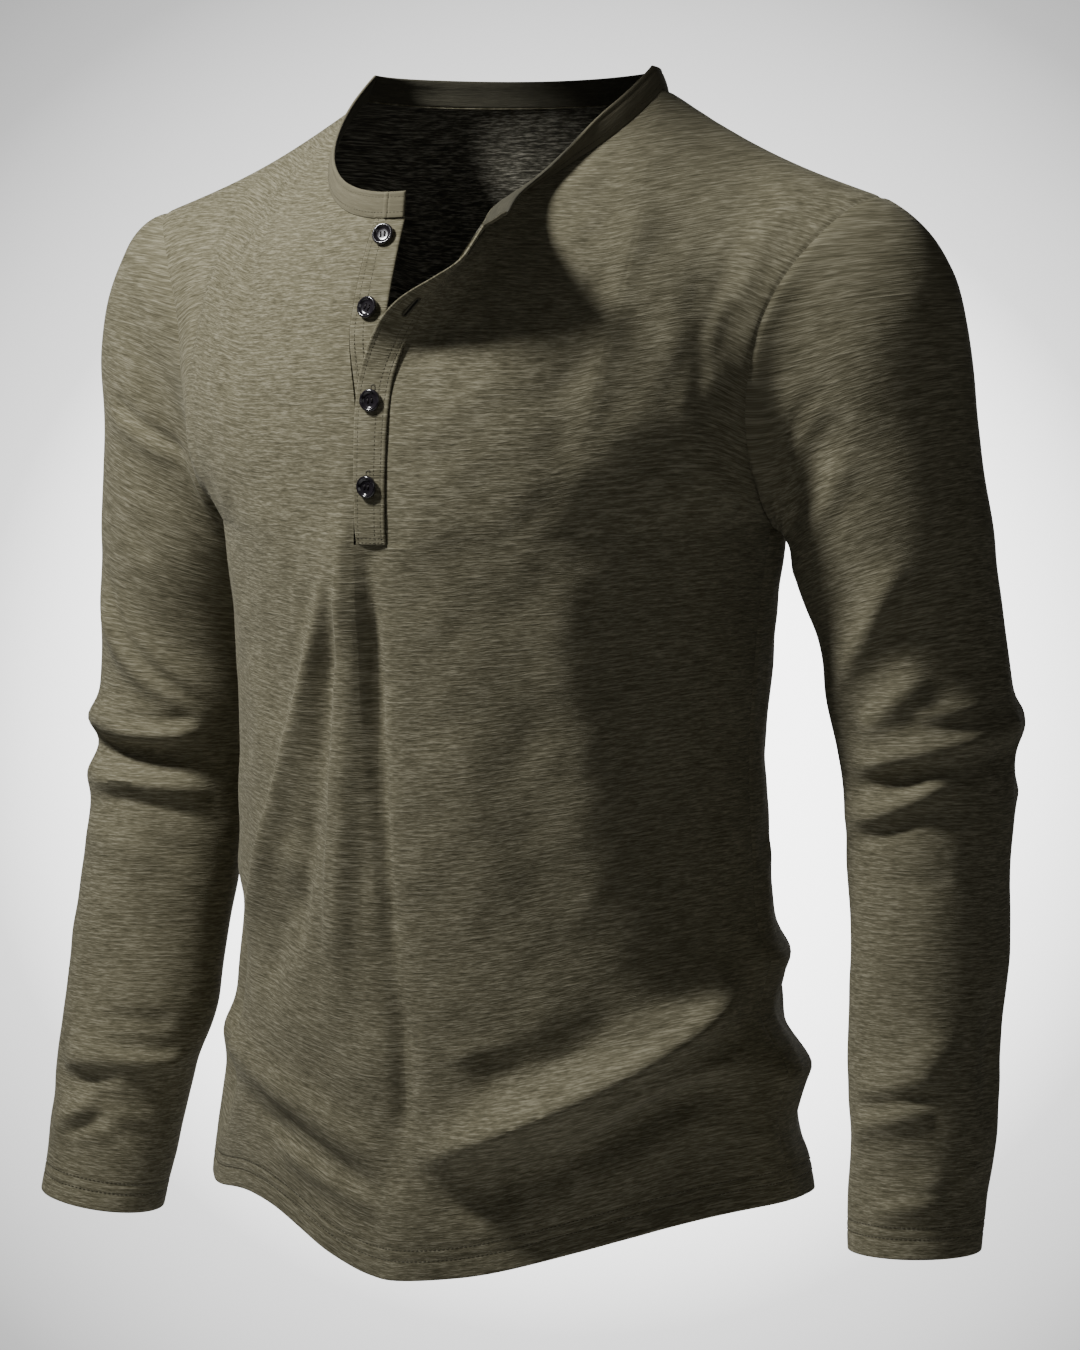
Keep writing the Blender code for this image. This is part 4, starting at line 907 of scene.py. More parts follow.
# turn, z, bend_turn, bend_z, end_turn, end_z, lift, width
LEFT_SLEEVE_FOLDS = thousandths(
    (340, -255, 270, -300, 130, -352, 5, 13),
    (350, -325, 280, -350, 190, -368, 4, 11),
    (640, -359, 400, -362, 120, -386, 6.8, 11),
    (600, -372, 380, -380, 160, -398, -4.5, 9),
    (480, -372, 330, -400, 60, -418, 6, 11),
    (560, -328, 430, -346, 290, -356, 3.5, 10),
    (540, -357, 680, -359, 860, -403, 6, 13),
    (560, -395, 700, -405, 900, -430, 5, 13),
    (580, -372, 720, -378, 860, -412, -4, 11),
    (400, -525, 320, -560, 120, -564, 4.5, 12),
    (340, -568, 230, -582, 110, -588, 4, 10),
    (400, -612, 290, -626, 180, -632, 3.5, 10),
    (520, -500, 470, -545, 500, -590, -4, 12),
    (640, -520, 760, -548, 900, -540, 4, 13),
    (287, -161, 222, -184, 179, -198, 2.6, 5),
    (300, -175, 231, -191, 177, -220, 2.8, 5.5),
    (293, -203, 243, -232, 172, -257, 2.8, 6),
    (331, -262, 282, -295, 178, -339, 3, 6),
    (342, -325, 288, -345, 187, -369, 2.6, 7),
    (296, -352, 351, -354, 471, -344, 2.6, 4.5),
    (144, -386, 317, -380, 479, -357, 3.6, 5),
    (144, -395, 245, -395, 327, -390, -2.8, 5.5),
    (301, -384, 353, -382, 409, -378, 2.2, 4),
    (154, -416, 302, -409, 377, -381, 3.6, 5),
    (142, -424, 242, -423, 325, -405, -2.6, 5),
    (133, -568, 313, -559, 351, -555, 2.4, 5.5),
    (136, -575, 311, -567, 354, -564, -2.2, 5.5),
    (143, -587, 313, -574, 354, -572, 2.2, 5.5),
    (207, -623, 315, -620, 393, -616, -1.6, 3.5),
    (231, -628, 310, -626, 384, -623, 1.4, 4.5),
    (410, -617, 435, -608, 469, -602, 1.6, 4),
    (219, -446, 313, -448, 371, -444, -1, 6),
    (560, -350, 680, -353, 830, -392, 1.8, 5),
    (580, -396, 700, -406, 870, -427, 1.5, 5),
    (560, -160, 680, -220, 800, -270, 1.4, 8),
)
RIGHT_SLEEVE_FOLDS = thousandths(
    (400, -285, 270, -335, 60, -372, 5, 12),
    (560, -379, 330, -372, 60, -384, 6.8, 11),
    (500, -388, 250, -392, 80, -404, -4.5, 9),
    (520, -414, 260, -404, 20, -428, 5.8, 11),
    (540, -379, 680, -377, 850, -403, 6.2, 13),
    (560, -408, 700, -412, 880, -440, 4.8, 13),
    (560, -392, 700, -394, 860, -420, -3.8, 11),
    (400, -440, 260, -452, 120, -458, 3, 12),
    (60, -390, 0, -500, -20, -610, 9, 34),
    (350, -572, 190, -588, -40, -578, 4.2, 11),
    (380, -588, 260, -596, 140, -606, -3, 9),
    (200, -605, 280, -615, 360, -628, 3.5, 10),
    (620, -540, 760, -560, 900, -552, 4, 13),
    (372, -173, 285, -197, 149, -216, -3, 3.4),
    (377, -183, 270, -203, 188, -220, 2.2, 5),
    (346, -278, 304, -333, 91, -371, -3.4, 4.2),
    (339, -303, 331, -340, 98, -376, 2.8, 6),
    (287, -243, 246, -267, 224, -279, -1.4, 4.5),
    (365, -382, 183, -390, 108, -380, 4.6, 6),
    (306, -372, 201, -378, 127, -372, -3.4, 5),
    (413, -394, 209, -401, 132, -394, -3.4, 5.5),
    (379, -394, 265, -401, 215, -410, 1.8, 3.5),
    (373, -416, 176, -407, 69, -422, 4, 5),
    (352, -407, 246, -404, 145, -411, -2.4, 4.5),
    (338, -423, 174, -423, 84, -433, -2.4, 5),
    (202, -447, 138, -455, 77, -459, -1.2, 4.5),
    (250, -556, 134, -555, 61, -560, -2, 5),
    (235, -576, 125, -588, 2, -581, 2.8, 5),
    (243, -570, 108, -579, 36, -573, -2.4, 5),
    (347, -588, 257, -581, 216, -585, 2.4, 5),
    (303, -595, 221, -594, 162, -592, -2, 4.5),
    (269, -602, 200, -598, 131, -600, 1.6, 4.5),
    (311, -622, 244, -614, 215, -604, 2.6, 5.5),
    (293, -628, 214, -621, 175, -612, -2, 5),
    (183, -614, 107, -621, 35, -615, 1.6, 4.5),
    (300, -633, 205, -623, 154, -630, 1.4, 5),
    (560, -372, 680, -371, 820, -394, 1.8, 5),
    (580, -409, 700, -413, 850, -435, 1.4, 5),
    (560, -160, 680, -220, 800, -270, 1.4, 8),
)


def sleeve_ring(turn, along):
    """A ring below the upper arm; turn 0 faces the body, 0.25 the front."""
    x, y, z, wide, deep, tilt = np.moveaxis(read_table(SLEEVE_TABLE, along), -1, 0)
    angle = 2 * np.pi * turn
    return np.stack(np.broadcast_arrays(
        x - wide * np.cos(angle), y - deep * np.sin(angle), z - tilt * np.cos(angle)), axis=-1)


def sleeve_cloth(name, side, folds, start):
    """The cloth of one sleeve, from the armhole seam to the cuff, and how far each row is down it."""
    rise = body_levels[armpit_row:] - 1
    seam_at = np.concatenate([rise, 2 - rise[-2:0:-1]])
    armhole = read_table(ARMHOLE_TABLE, seam_at)
    one = np.ones(len(rise))
    front_way = panel_point(one, rise + 1, True) - panel_point(one * 0.996, rise + 1, True)
    back_way = panel_point(one, rise + 1, False) - panel_point(one * 0.996, rise + 1, False)
    away = np.concatenate([front_way, back_way[-2:0:-1]])
    ahead = unit(np.roll(armhole, -1, axis=0) - np.roll(armhole, 1, axis=0))
    away = unit(away - ahead * np.sum(away * ahead, axis=1, keepdims=True))
    climb = (armhole[:, 2] - armhole[0, 2]) / (armhole[:, 2].max() - armhole[0, 2])
    low = (1 - ease(climb / UNDERARM_SHARE))[:, None]
    leaving = unit(away * (1 - low) + np.array(UNDERARM_WAY) * low)
    turn = seam_at / 2
    first = sleeve_ring(turn, 0.0 * turn)
    arm_way = unit(sleeve_ring(turn, 0.0 * turn + 0.01) - first)
    reach = np.linalg.norm(first - armhole, axis=1)[:, None]
    cap_at = spaced(0.0, 1.0, 40, length=CAP_LENGTH)[:-1]
    cap = [sweep(armhole, leaving * reach * CAP_PULLS[0], first, arm_way * reach * CAP_PULLS[1],
                 0.0 * turn + t) for t in cap_at]
    arm_at = np.unique(np.concatenate([np.linspace(0.0, 1.0, 132), 1 - hem_levels / ARM_LENGTH]))
    points = np.array(cap + [sleeve_ring(turn, 0.0 * turn + along) for along in arm_at])
    if side < 0:
        inward = (SLEEVE_TABLE[-1][1] - points[..., 0]) / SLEEVE_TABLE[-1][4]
        slant = ramp(points[..., 2], SLANT_SPAN) * RIGHT_CUFF_SLANT * inward
        points[..., 2] -= ramp(points[..., 2], DROP_SPAN) * RIGHT_CUFF_DROP + slant
    points = points * np.array((side, 1.0, 1.0))
    along = np.concatenate([cap_at * CAP_LENGTH, CAP_LENGTH + arm_at * ARM_LENGTH])
    along = np.broadcast_to(along[:, None], points.shape[:2])
    level = np.where(along < CAP_LENGTH, points[len(cap_at), :, 2] - points[..., 2], along - CAP_LENGTH)
    flat_along = np.concatenate([level, level[:, :1]], axis=1) + start * YARN_SHIFT
    flat_across = np.broadcast_to(np.append(turn, 1.0) * SLEEVE_ROUND + start, flat_along.shape)
    cloth = Cloth(name, points, np.stack([flat_across, flat_along], axis=-1), side > 0, ring=True)
    lengths = [[value * SLEEVE_ROUND if place in (0, 2, 4) else value for place, value in enumerate(row)]
               for row in folds]
    height = fold_height(np.broadcast_to(turn * SLEEVE_ROUND, along.shape), points[..., 2], lengths,
                         SLEEVE_ROUND)
    height = height + soft_unevenness(np.cos(2 * np.pi * turn) * SLEEVE_RADIUS, along, int(start * 10))
    height = height * ease(along / CAP_CALM)
    height = height + seam_pucker(along, run_along(armhole)[None, :], start) * ease(along / SEAM_REACH)
    cloth.rise(height)
    gap = CAP_LENGTH + ARM_LENGTH - along
    cloth.rise(seam_dip(along) + hem_groove(gap))
    cloth.tilt()
    edge = -1 if side > 0 else 0
    seam = [np.concatenate([grid_of[armpit_row:, edge], grid_of_back[armpit_row:, edge][-2:0:-1]])
            for grid_of, grid_of_back in ((front.points, back.points), (front.normals, back.normals))]
    cloth.points = cloth.points + (seam[0] - cloth.points[0]) * np.exp(-(along / SEAM_JOIN) ** 2)[..., None]
    cloth.normals = cloth.grid_normals()
    cloth.normals[0] = seam[1]
    return cloth, gap


for side, node, folds, start in (
    (1, "sleeve_left", LEFT_SLEEVE_FOLDS, 7.0),
    (-1, "sleeve_right", RIGHT_SLEEVE_FOLDS, 9.0),
):
    cloth, gap = sleeve_cloth(node + "_cloth", side, folds, start)
    outer, inner = rounded_edge(gap, JERSEY)
    sleeve = cloth.sew(outer, inner, (olive_jersey, olive_jersey_inside_painted_shade))
    upside = Cloth(node, cloth.points[::-1], cloth.flat[::-1], side < 0, ring=True)
    stitching = hem_stitching(node + "_cuff_stitching", upside)
    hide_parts(node)
    for piece in (sleeve, stitching):
        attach(piece, "root")


# ================================================================ the plackets
# Two doubled strips of the jersey close the slit. The upper one, on the wearer's left, carries the
# buttonholes and turns outwards with the open neck; the under one carries the buttons.
PLACKET_PROUD = 0.0010
PLACKET_THICK = 0.0016
UNDER_DEPTH = 0.0012
UNDER_RISE = (-0.165, 0.030)     # where the under placket comes up to the front's own level
OVER_ROWS = (0.0026, 0.0066)     # stitches, from the edge sewn to the front
UNDER_ROWS = (0.0030, 0.0080)
FOOT_ROWS = (0.0018, 0.0052)     # stitches across the lower end
STRIP_GROOVE = (0.00022, 0.0007)
BUTTON_HEIGHTS = (-0.083, -0.124, -0.176, -0.224)
BUTTONHOLE_RISE = 0.0016         # above the buttons' own heights
BUTTONHOLE_SQUARE = 2.2          # how straight its long sides are
SATIN_CHANGE = 0.22              # by turns the stitches of its edge are thicker and thinner
SATIN_FLAT = 0.75
SLIT_RISE = 0.00012
STRIP_STITCH = {"pitch": 0.0024, "length": 0.0018, "radius": 0.00022}
strip_across = spaced(1.0, -1.0, 17, close=(0.0004, 0.0011), length=PLACKET_WIDTH)
foot_levels = 1.0 + np.array([0.0004, 0.0010]) / YOKE_LENGTH
strip_levels = np.unique(np.concatenate([body_levels[armpit_row:], foot_levels]))
u, level = np.meshgrid(strip_across * PLACKET_SHARE, strip_levels)
strip = panel_point(u, level, True)
foot_gap = (level - 1) * YOKE_LENGTH
left_gap = np.broadcast_to((1 - strip_across) * PLACKET_WIDTH / 2, level.shape)
right_gap = np.broadcast_to((1 + strip_across) * PLACKET_WIDTH / 2, level.shape)
strip_flat = np.stack([np.broadcast_to(strip_across * PLACKET_WIDTH / 2, level.shape), foot_gap], axis=-1)
strip_outer, strip_inner = rounded_edge(
    np.minimum(np.minimum(left_gap, right_gap), foot_gap), PLACKET_THICK, 0.0011)


def strip_groove(gap, places):
    return stitch_groove(gap, places, *STRIP_GROOVE)


over = Cloth("placket_over_cloth", turn_out_flap(strip), strip_flat + (11.0, 2.0), True)
over.rise(soft_unevenness(strip_across[None, :] * 0.01, foot_gap, 31) * ease(foot_gap / 0.02) * 0.7)
over.rise((strip_groove(left_gap, OVER_ROWS) + strip_groove(right_gap, OVER_ROWS[:1]))
          * ease(foot_gap / SEAM_REACH))
over.tilt()
placket_over = over.sew(strip_outer + PLACKET_PROUD, strip_inner + PLACKET_PROUD, (olive_jersey,))
under = Cloth("placket_under_cloth", slide_button_side(strip), strip_flat + (13.0, 2.5), True)
under.rise(strip_groove(right_gap, UNDER_ROWS))
under.tilt()
under_drop = UNDER_DEPTH * (1 - ramp(strip[..., 2], UNDER_RISE))
placket_under = under.sew(strip_outer - under_drop, strip_inner - under_drop, (olive_jersey,))


def strip_row(cloth, distance, lift, first=0.0, gap=left_gap):
    """A path up a placket strip at a distance from the edge that the gap is measured from."""
    order = np.argsort(gap[0])
    column = np.interp(distance, gap[0][order], order)
    rows = np.arange(first, len(strip_levels) - 1, 0.5)
    return cloth.at(rows, np.full(len(rows), column), lift)


def foot_row(foot):
    """The fractional row at a distance above the lower end."""
    return np.interp(foot, foot_gap[:, 0], np.arange(len(strip_levels)))


over_rows = [strip_row(over, place, PLACKET_PROUD) for place in OVER_ROWS]
over_rows.append(strip_row(over, OVER_ROWS[0], PLACKET_PROUD, gap=right_gap))
foot_columns = np.linspace(1.5, len(strip_across) - 2.5, 40)
over_rows += [over.at(np.full(40, foot_row(foot)), foot_columns, PLACKET_PROUD) for foot in FOOT_ROWS]
under_rows = [strip_row(under, place, 0.0, foot_row(0.085), right_gap) for place in UNDER_ROWS]
placket_over_stitching = sew_stitches("placket_over_stitching", over_rows, olive_thread, **STRIP_STITCH)
placket_under_stitching = sew_stitches("placket_under_stitching", under_rows, olive_thread, **STRIP_STITCH)
# the slit's opening is painted shade: a near-black face laid just above the cloth
painted_shade_slit = thread_material("buttonhole_slit_painted_shade", (0.010, 0.009, 0.006), 0.9)


def placket_seat(z, move, lift, step=0.01):
    """A point in the middle of the placket at a height, with its normal and the way up the strip."""
    levels = np.linspace(1.0, 2.0, 201)
    line = panel_point(np.zeros_like(levels), levels, True)
    level = levels[np.argmin(np.abs(line[:, 2] - z))]
    near = np.array([(0, 0), (step, 0), (-step, 0), (0, step), (0, -step)])
    points = tilt_shoulders(move(panel_point(near[:, 0], level + near[:, 1], True)))
    normal = unit(np.cross(points[1] - points[2], points[3] - points[4]))
    return points[0] + normal * lift, normal, unit(points[3] - points[4])


def buttonhole(name, seat, normal, up, length=0.0150, half=0.0013, thick=0.00062, steps=144):
    """A slit bound all round with close satin stitches; its opening is a near-black face of painted shade."""
    turn = np.arange(steps) / steps * 2 * np.pi
    along = half * np.sin(turn) + (length / 2 - half) * np.clip(np.sin(turn) * BUTTONHOLE_SQUARE, -1, 1)
    path = seat + np.outer(half * np.cos(turn), np.cross(up, normal)) + np.outer(along, up)
    out = unit(np.cross(unit(np.roll(path, -1, axis=0) - np.roll(path, 1, axis=0)), normal))
    bead = thick * (1 + SATIN_CHANGE * np.cos(np.arange(steps) * np.pi))
    round_bead = (np.arange(8) * np.pi / 4)[:, None]
    binding = path[:, None] + bead[:, None, None] * (
        out[:, None] * np.cos(round_bead) + normal * np.sin(round_bead) * SATIN_FLAT)
    points = np.concatenate([binding.reshape(-1, 3), path + normal * SLIT_RISE])
    faces = tube_faces(steps, 8, closed=True).tolist() + [list(range(steps * 8, steps * 9))]
    piece = new_piece(name, points.tolist(), faces, [olive_thread, painted_shade_slit])
    piece.data.polygons[-1].material_index = 1
    return piece


buttonholes = []
for number, z in enumerate(BUTTON_HEIGHTS, start=1):
    seat, normal, up = placket_seat(z, turn_out_flap, PLACKET_PROUD + 0.0001)
    buttonholes.append(buttonhole(f"buttonhole_{number}", seat + up * BUTTONHOLE_RISE, normal, up))
for piece in (placket_over, placket_over_stitching, placket_under, placket_under_stitching, *buttonholes):
    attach(piece, "root")
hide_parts("placket_over")
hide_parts("placket_under")


# ================================================================ the neckband
# A narrow folded band of the same yarn in a closer knit, sewn to the neck edge with its fold on top.
# It follows the turned-out side, and its end on the button side is folded over and stitched down.
BAND_WIDTH = 0.015
BAND_THICK = 0.0022
BAND_FRONT_WAY = (0.0, 0.15, 0.98)
BAND_SIDE_WAY = (-0.42, 0.0, 0.91)
BAND_BACK_WAY = (0.0, -0.25, 0.97)
BAND_LIFT = 0.0009
BAND_ROUND = 0.0014             # of the folded edge and the ends
BAND_JOIN = 0.004               # over which it is drawn on to the neck seam
BAND_RIPPLE = (0.00012, 0.0042)  # height, and length of a radian
BAND_ROWS = (0.0030, 0.0118)    # stitches, from the seam
BAND_GROOVE = (0.00040, 0.0007)
TAB_STEP = (0.0125, 0.0014)     # the end folded over and stitched down: its length, its step down
TAB_HEIGHT = 0.0010
TAB_ROW = 0.0108
TAB_GROOVE = (0.0006, 0.0007)
band_heights = np.array([0.0, 0.0004, 0.0012, 0.0022, 0.0036, 0.0052, 0.0070, 0.0088, 0.0104,
                         0.0118, 0.0130, 0.0140, 0.0146, 0.0150])


def band_half(shares, front, side):
    """The band's points from the centre to a shoulder seam, before the neck is opened."""
    bottom = top_edge(shares * side, front)
    angle = np.arcsin(np.clip(np.abs(bottom[:, 0]) / NECK_HALF_WIDTH, 0.0, 1.0))
    weight = np.sin(angle)[:, None] ** 2
    middle = np.array(BAND_FRONT_WAY if front else BAND_BACK_WAY)
    way = unit(middle * (1 - weight) + np.array(BAND_SIDE_WAY) * weight)
    way[:, 0] *= np.sign(bottom[:, 0])
    return bottom[None] + way[None] * band_heights[:, None, None]


band_jersey = jersey_material(
    "neckband_jersey", (0.150, 0.136, 0.088), (0.100, 0.090, 0.056), (0.215, 0.198, 0.136), 0.6, 0.35)
# the band's inner face made darker: painted shade for the inside of the neck
band_jersey_inside_painted_shade = jersey_material(
    "neckband_jersey_inside_painted_shade", (0.060, 0.056, 0.038), (0.030, 0.028, 0.019), (0.110, 0.102, 0.074),
    0.6, 0.35)
ahead = front_half[front_half < NECK_SHARE + 1e-9]
band_strip = np.linspace(-1.0, 1.0, 31)[:-1]
front_line = np.concatenate([band_strip * PLACKET_SHARE, ahead])
rear_columns = np.nonzero(np.abs(back_shares) < NECK_SHARE - 1e-9)[0]
under_side = tilt_shoulders(slide_button_side(band_half(front_line, True, -1)))
rear = tilt_shoulders(band_half(back_shares[rear_columns], False, 1))
over_side = tilt_shoulders(turn_out_flap(band_half(front_line, True, 1)))
band_points = np.concatenate([under_side, rear, over_side[:, ::-1]], axis=1)


def strip_end(cloth, side):
    """The top edge of a placket strip, from the edge sewn to the front."""
    columns = np.interp(band_strip * side, strip_across[::-1], np.arange(len(strip_across))[::-1])
    return cloth.at(np.full(len(band_strip), len(strip_levels) - 1.0), columns)[0]


count = len(ahead)
neck_seam = np.concatenate([
    strip_end(under, -1), front.points[-1, slit_right - count + 1:slit_right + 1][::-1],
    back.points[-1, rear_columns], front.points[-1, slit_left:slit_left + count][::-1],
    strip_end(over, 1)[::-1]])
band_points = band_points + (neck_seam - band_points[0]) * (1 - ease(band_heights / BAND_JOIN))[:, None, None]
run = run_along(band_points[0])
band_flat = np.stack(np.meshgrid(run + 15.0, band_heights + 1.0), axis=-1)
band = Cloth("neckband_cloth", band_points, band_flat, True)
height_grid = np.broadcast_to(band_heights[:, None], band_points.shape[:2])
end_tab = TAB_HEIGHT * (1 - ramp(run, TAB_STEP)) + stitch_groove(run, (TAB_ROW,), *TAB_GROOVE)
band.rise(stitch_groove(height_grid, BAND_ROWS, *BAND_GROOVE) + end_tab
          + BAND_RIPPLE[0] * np.sin(run / BAND_RIPPLE[1]) * np.sin(np.pi * height_grid / BAND_WIDTH))
end_gap = np.broadcast_to(np.minimum(run, run[-1] - run), height_grid.shape)
band_edge = np.minimum(np.minimum(BAND_WIDTH - height_grid, end_gap), height_grid + 0.0006)
band_outer, band_inner = rounded_edge(band_edge, BAND_THICK, BAND_ROUND)
neckband = band.sew(band_outer + BAND_LIFT, band_inner + BAND_LIFT, (band_jersey, band_jersey_inside_painted_shade))
columns = np.arange(0.6, band_points.shape[1] - 1.6, 0.5)
band_rows = [band.at(np.full(len(columns), np.interp(place, band_heights, np.arange(len(band_heights)))),
                     columns, BAND_LIFT) for place in BAND_ROWS]
tab_rows = np.arange(0.6, len(band_heights) - 1.6, 0.25)
tab_columns = np.full(len(tab_rows), np.interp(TAB_ROW, run, np.arange(len(run))))
band_rows.append(band.at(tab_rows, tab_columns, BAND_LIFT))
neckband_stitching = sew_stitches("neckband_stitching", band_rows, olive_thread, pitch=0.0024,
                                  length=0.0018, radius=0.00020)
for piece in (neckband, neckband_stitching):
    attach(piece, "root")
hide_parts("neckband")


# ================================================================ the buttons
# Four dark polished buttons with a raised rim, a dished middle and four holes, sewn on with dark
# thread. The lower two are fastened and lie on the upper placket.
BUTTON_LIFT = 0.0004
BUTTON_SIDES = 64
BUTTON_PROFILE = thousandths(
    (4.8, 0.0), (5.8, 0.3), (6.4, 0.9), (6.5, 1.5), (6.4, 2.1), (6.1, 2.6), (5.6, 2.8), (5.1, 2.7),
    (4.7, 2.3), (4.3, 1.8), (3.8, 1.5), (3.0, 1.4),
)
BUTTON_TILTS = ((0.10, -0.12), (-0.08, -0.07), (0.06, -0.05), (-0.05, -0.08))   # to a side, down
BUTTON_SPINS = (12.0, -20.0, 8.0, -6.0)
HOLE_RADIUS = 0.00065
HOLE_OFFSET = 0.00125
THREAD_RADIUS = 0.00022
THREAD_LEVEL = 0.0016      # above the button's underside
THREAD_ARCH = 0.0006
THREAD_SUNK = 0.0004


def horn_material():
    """Near-black polished button with faint cloudy streaks."""
    material, tree, shader = new_material("dark_polished_button", {
        "Specular IOR Level": 0.6, "Coat Weight": 0.5, "Coat Roughness": 0.08})
    place = add_node(tree, "TexCoord", {})
    cloud = add_node(tree, "TexNoise", {"Vector": place["Object"], "Scale": 380.0, "Detail": 3.0})["Fac"]
    polish = add_node(tree, "MapRange", {"Value": cloud, "To Min": 0.12, "To Max": 0.26})
    tint = mix_colours(tree, cloud, (0.006, 0.005, 0.007, 1.0), (0.024, 0.020, 0.024, 1.0))
    set_inputs(shader, {"Base Color": tint, "Roughness": polish["Result"]})
    return material


dark_horn = horn_material()
dark_thread = thread_material("dark_thread", (0.022, 0.018, 0.018), 0.55)


def turned_button():
    """The button lying flat at the origin, its four holes cut through."""
    rings = len(BUTTON_PROFILE)
    points = [(radius * np.cos(turn), radius * np.sin(turn), lift) for radius, lift in BUTTON_PROFILE
              for turn in np.arange(BUTTON_SIDES) * 2 * np.pi / BUTTON_SIDES]
    faces = tube_faces(rings, BUTTON_SIDES).tolist()
    faces += [list(range(BUTTON_SIDES))[::-1], list(range((rings - 1) * BUTTON_SIDES, rings * BUTTON_SIDES))]
    blank = new_piece("button_blank", points, faces, ())
    drill = bmesh.new()
    for x in (-HOLE_OFFSET, HOLE_OFFSET):
        for y in (-HOLE_OFFSET, HOLE_OFFSET):
            bmesh.ops.create_cone(
                drill, cap_ends=True, segments=16, radius1=HOLE_RADIUS, radius2=HOLE_RADIUS, depth=0.008,
                matrix=Matrix.Translation((x, y, 0.001)))
    drill_mesh = bpy.data.meshes.new("drill")
    drill.to_mesh(drill_mesh)
    drill.free()
    cut = blank.modifiers.new("holes", "BOOLEAN")
    cut.operation = "DIFFERENCE"
    cut.solver = "EXACT"
    cut.object = place_item("drill", drill_mesh)
    drilled = bpy.data.meshes.new_from_object(blank.evaluated_get(bpy.context.evaluated_depsgraph_get()))
    for item in (cut.object, blank):
        bpy.data.objects.remove(item, do_unlink=True)
    drilled.shade_smooth()
    drilled.set_sharp_from_angle(angle=0.7)
    return drilled


def thread_bar(start, end, up):
    """A short arched length of thread from hole to hole, as nine rings of six points."""
    share = np.linspace(0.0, 1.0, 9)[:, None, None]
    turn = (np.arange(6) * np.pi / 3)[:, None]
    middle = start + (end - start) * share + up * (THREAD_ARCH * np.sin(np.pi * share) - THREAD_SUNK)
    side = np.cross(unit(end - start), up)
    return (middle + (side * np.cos(turn) + up * np.sin(turn)) * THREAD_RADIUS).reshape(-1, 3)


button_mesh = turned_button()
for number, z in enumerate(BUTTON_HEIGHTS, start=1):
    fastened = number > 2
    lift = (PLACKET_PROUD if fastened else 0.0) + BUTTON_LIFT
    seat, normal, up = placket_seat(z, turn_out_flap if fastened else slide_button_side, lift)
    side = unit(np.cross((0.0, 0.0, 1.0), normal))
    lean, droop = BUTTON_TILTS[number - 1]
    seat = seat + normal * BUTTON_LIFT
    normal = unit(normal + side * lean + np.cross(normal, side) * droop)
    side = unit(side - normal * (side @ normal))
    up = np.cross(normal, side)
    spin = np.radians(BUTTON_SPINS[number - 1])
    side, up = side * np.cos(spin) + up * np.sin(spin), up * np.cos(spin) - side * np.sin(spin)
    mesh = button_mesh.copy()
    mesh.transform(Matrix.Translation(Vector(seat)) @ Matrix((side, up, normal)).transposed().to_4x4())
    mesh.materials.clear()
    mesh.materials.append(dark_horn)
    button = place_item(f"button_{number}_turned", mesh)
    bars = []
    for x in (-HOLE_OFFSET, HOLE_OFFSET):
        for pull in (-THREAD_RADIUS, THREAD_RADIUS):
            middle = seat + side * (x + pull) + normal * THREAD_LEVEL
            bars.append(thread_bar(middle - up * HOLE_OFFSET, middle + up * HOLE_OFFSET, normal))
    bar_faces = np.concatenate([tube_faces(9, 6) + bar * len(bars[0]) for bar in range(len(bars))])
    thread = new_piece(f"button_{number}_thread", np.concatenate(bars).tolist(), bar_faces.tolist(),
                       [dark_thread])
    for piece in (button, thread):
        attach(piece, "root")
    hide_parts(f"button_{number}")


# ================================================================ the studio
# A pale seamless floor, a key light from the wearer's front right, a fill, a light from behind, a
# small black card that shades the inside of the neck, and a pale surround with a glow behind.
GLOW_WAY = (-0.4932, 0.8672, -0.0792)
GLOW_ENDS = (0.46, 5.44)                     # brightness at the rim and in the middle of the glow
GLOW_STEPS = ((0.33, 0.83), (0.66, 1.77))    # how far in, and the brightness there
CAMERA_TURN = np.radians(30.0)
CAMERA_RISE = np.radians(4.0)
CAMERA_REACH = 3.3
CAMERA_AIM = (0.0, 0.0, -0.34)
CAMERA_SHIFT = 0.0165


def studio_floor():
    """A floor that fades into the surround far from the shirt."""
    bpy.ops.mesh.primitive_circle_add(vertices=96, radius=6.0, fill_type="NGON", location=(0, 0, -1.15))
    floor = bpy.context.object
    floor.name = "studio_floor"
    material, tree, shader = new_material("pale_floor", {"Base Color": (0.90, 0.90, 0.90, 1.0),
                                                         "Roughness": 0.9})
    place = add_node(tree, "TexCoord", {})
    reach = add_node(tree, "VectorMath", {0: place["Object"]}, operation="LENGTH")
    fade = add_node(tree, "MapRange", {"Value": reach["Value"], "From Min": 0.5, "From Max": 1.9,
                                       "To Min": 1.0, "To Max": 0.0}, interpolation_type="SMOOTHSTEP")
    set_inputs(shader, {"Alpha": fade["Result"]})
    floor.data.materials.append(material)
    return floor


studio_floor()
world = bpy.data.worlds.new("pale_surround")
world.use_nodes = True
bpy.context.scene.world = world
tree = world.node_tree
surround = tree.nodes["Background"]
set_inputs(surround, {"Color": (0.80, 0.80, 0.80, 1.0), "Strength": 0.036})
# camera rays see the surround with a painted glow, brightest in the middle; all other rays get only the dim
# plain surround
facing = add_node(tree, "TexCoord", {})
glow_way = add_node(tree, "VectorMath", {0: facing["Generated"], 1: GLOW_WAY},
                    operation="DOT_PRODUCT")
glow = add_node(tree, "MapRange", {"Value": glow_way["Value"], "From Min": 0.985, "From Max": 1.0})
painted_glow = tree.nodes.new("ShaderNodeValToRGB")
for stop, level in zip(painted_glow.color_ramp.elements, GLOW_ENDS):
    stop.color = (level, level, level, 1.0)
for share, level in GLOW_STEPS:
    stop = painted_glow.color_ramp.elements.new(share)
    stop.color = (level, level, level, 1.0)
set_inputs(painted_glow, {"Fac": glow["Result"]})
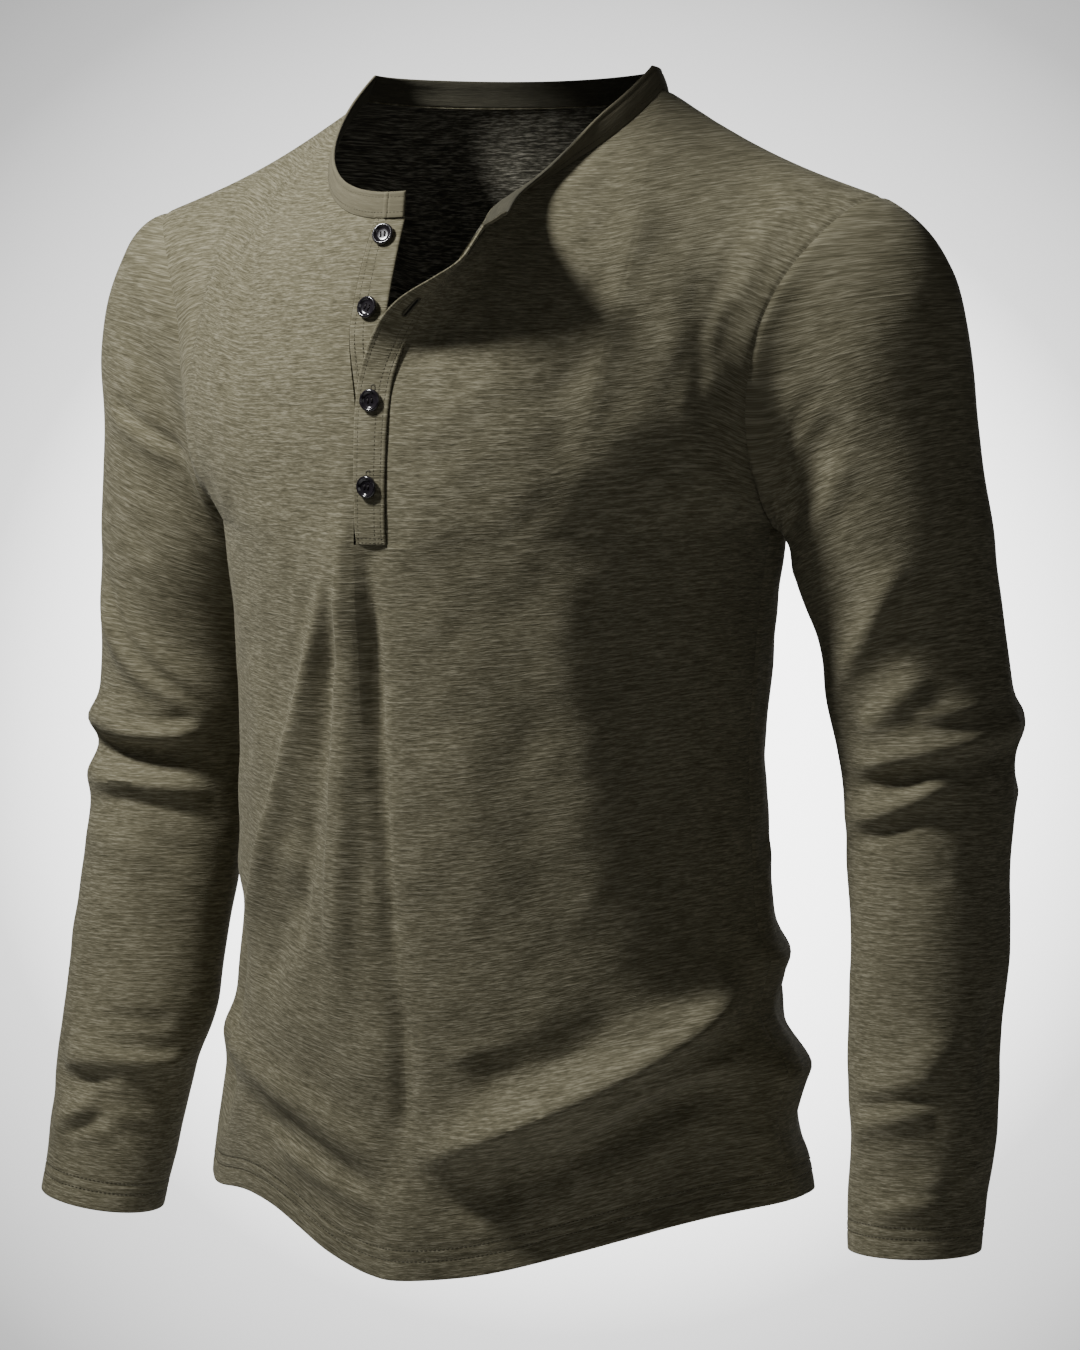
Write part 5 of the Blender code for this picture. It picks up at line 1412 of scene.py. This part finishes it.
seen = add_node(tree, "Background", {"Color": painted_glow.outputs["Color"], "Strength": 1.0})
ray = add_node(tree, "LightPath", {})
choose = add_node(tree, "MixShader", {0: ray["Is Camera Ray"], 1: surround.outputs[0], 2: seen[0]})
set_inputs(tree.nodes["World Output"], {"Surface": choose[0]})


def soft_light(name, place, aim, size, power):
    lamp = bpy.data.lights.new(name, "AREA")
    lamp.shape = "DISK"
    lamp.size = size
    lamp.energy = power
    item = place_item(name, lamp)
    item.location = place
    item.rotation_euler = (Vector(aim) - Vector(place)).to_track_quat("-Z", "Y").to_euler()


soft_light("key_light", (-0.500, -0.752, 0.685), (0.0, 0.0, -0.25), 0.25, 23.5)
soft_light("fill_light", (1.9, -2.2, 0.3), (0.0, 0.0, -0.35), 1.6, 6.0)
soft_light("back_light", (-0.9, 2.6, -0.1), (0.0, 0.0, -0.35), 1.8, 24.0)

bpy.ops.mesh.primitive_circle_add(vertices=48, radius=0.5, fill_type="NGON", location=(-0.098, -0.176, 0.192))
flag = bpy.context.object
flag.name = "studio_flag"
flag.scale = (0.150, 0.090, 1.0)
flag.rotation_euler = Vector((-0.433, -0.555, 0.493)).to_track_quat("Z", "Y").to_euler()
flag.visible_camera = False
black_card, _, _ = new_material("black_card", {"Base Color": (0.01, 0.01, 0.01, 1.0), "Roughness": 0.9})
flag.data.materials.append(black_card)

toward = np.array((np.sin(CAMERA_TURN) * np.cos(CAMERA_RISE), -np.cos(CAMERA_TURN) * np.cos(CAMERA_RISE),
                   np.sin(CAMERA_RISE)))
right = np.array((np.cos(CAMERA_TURN), np.sin(CAMERA_TURN), 0.0))
aim = np.array(CAMERA_AIM) + right * CAMERA_SHIFT
camera_data = bpy.data.cameras.new("camera")
camera_data.sensor_fit = "VERTICAL"
camera_data.sensor_height = 36.0
camera_data.lens = 149.16
camera_data.clip_end = 60.0
camera = place_item("camera", camera_data)
turned = Matrix((right, np.cross(toward, right), toward)).transposed().to_4x4()
turned.translation = Vector(aim + toward * CAMERA_REACH)
camera.matrix_world = turned
bpy.context.scene.camera = camera
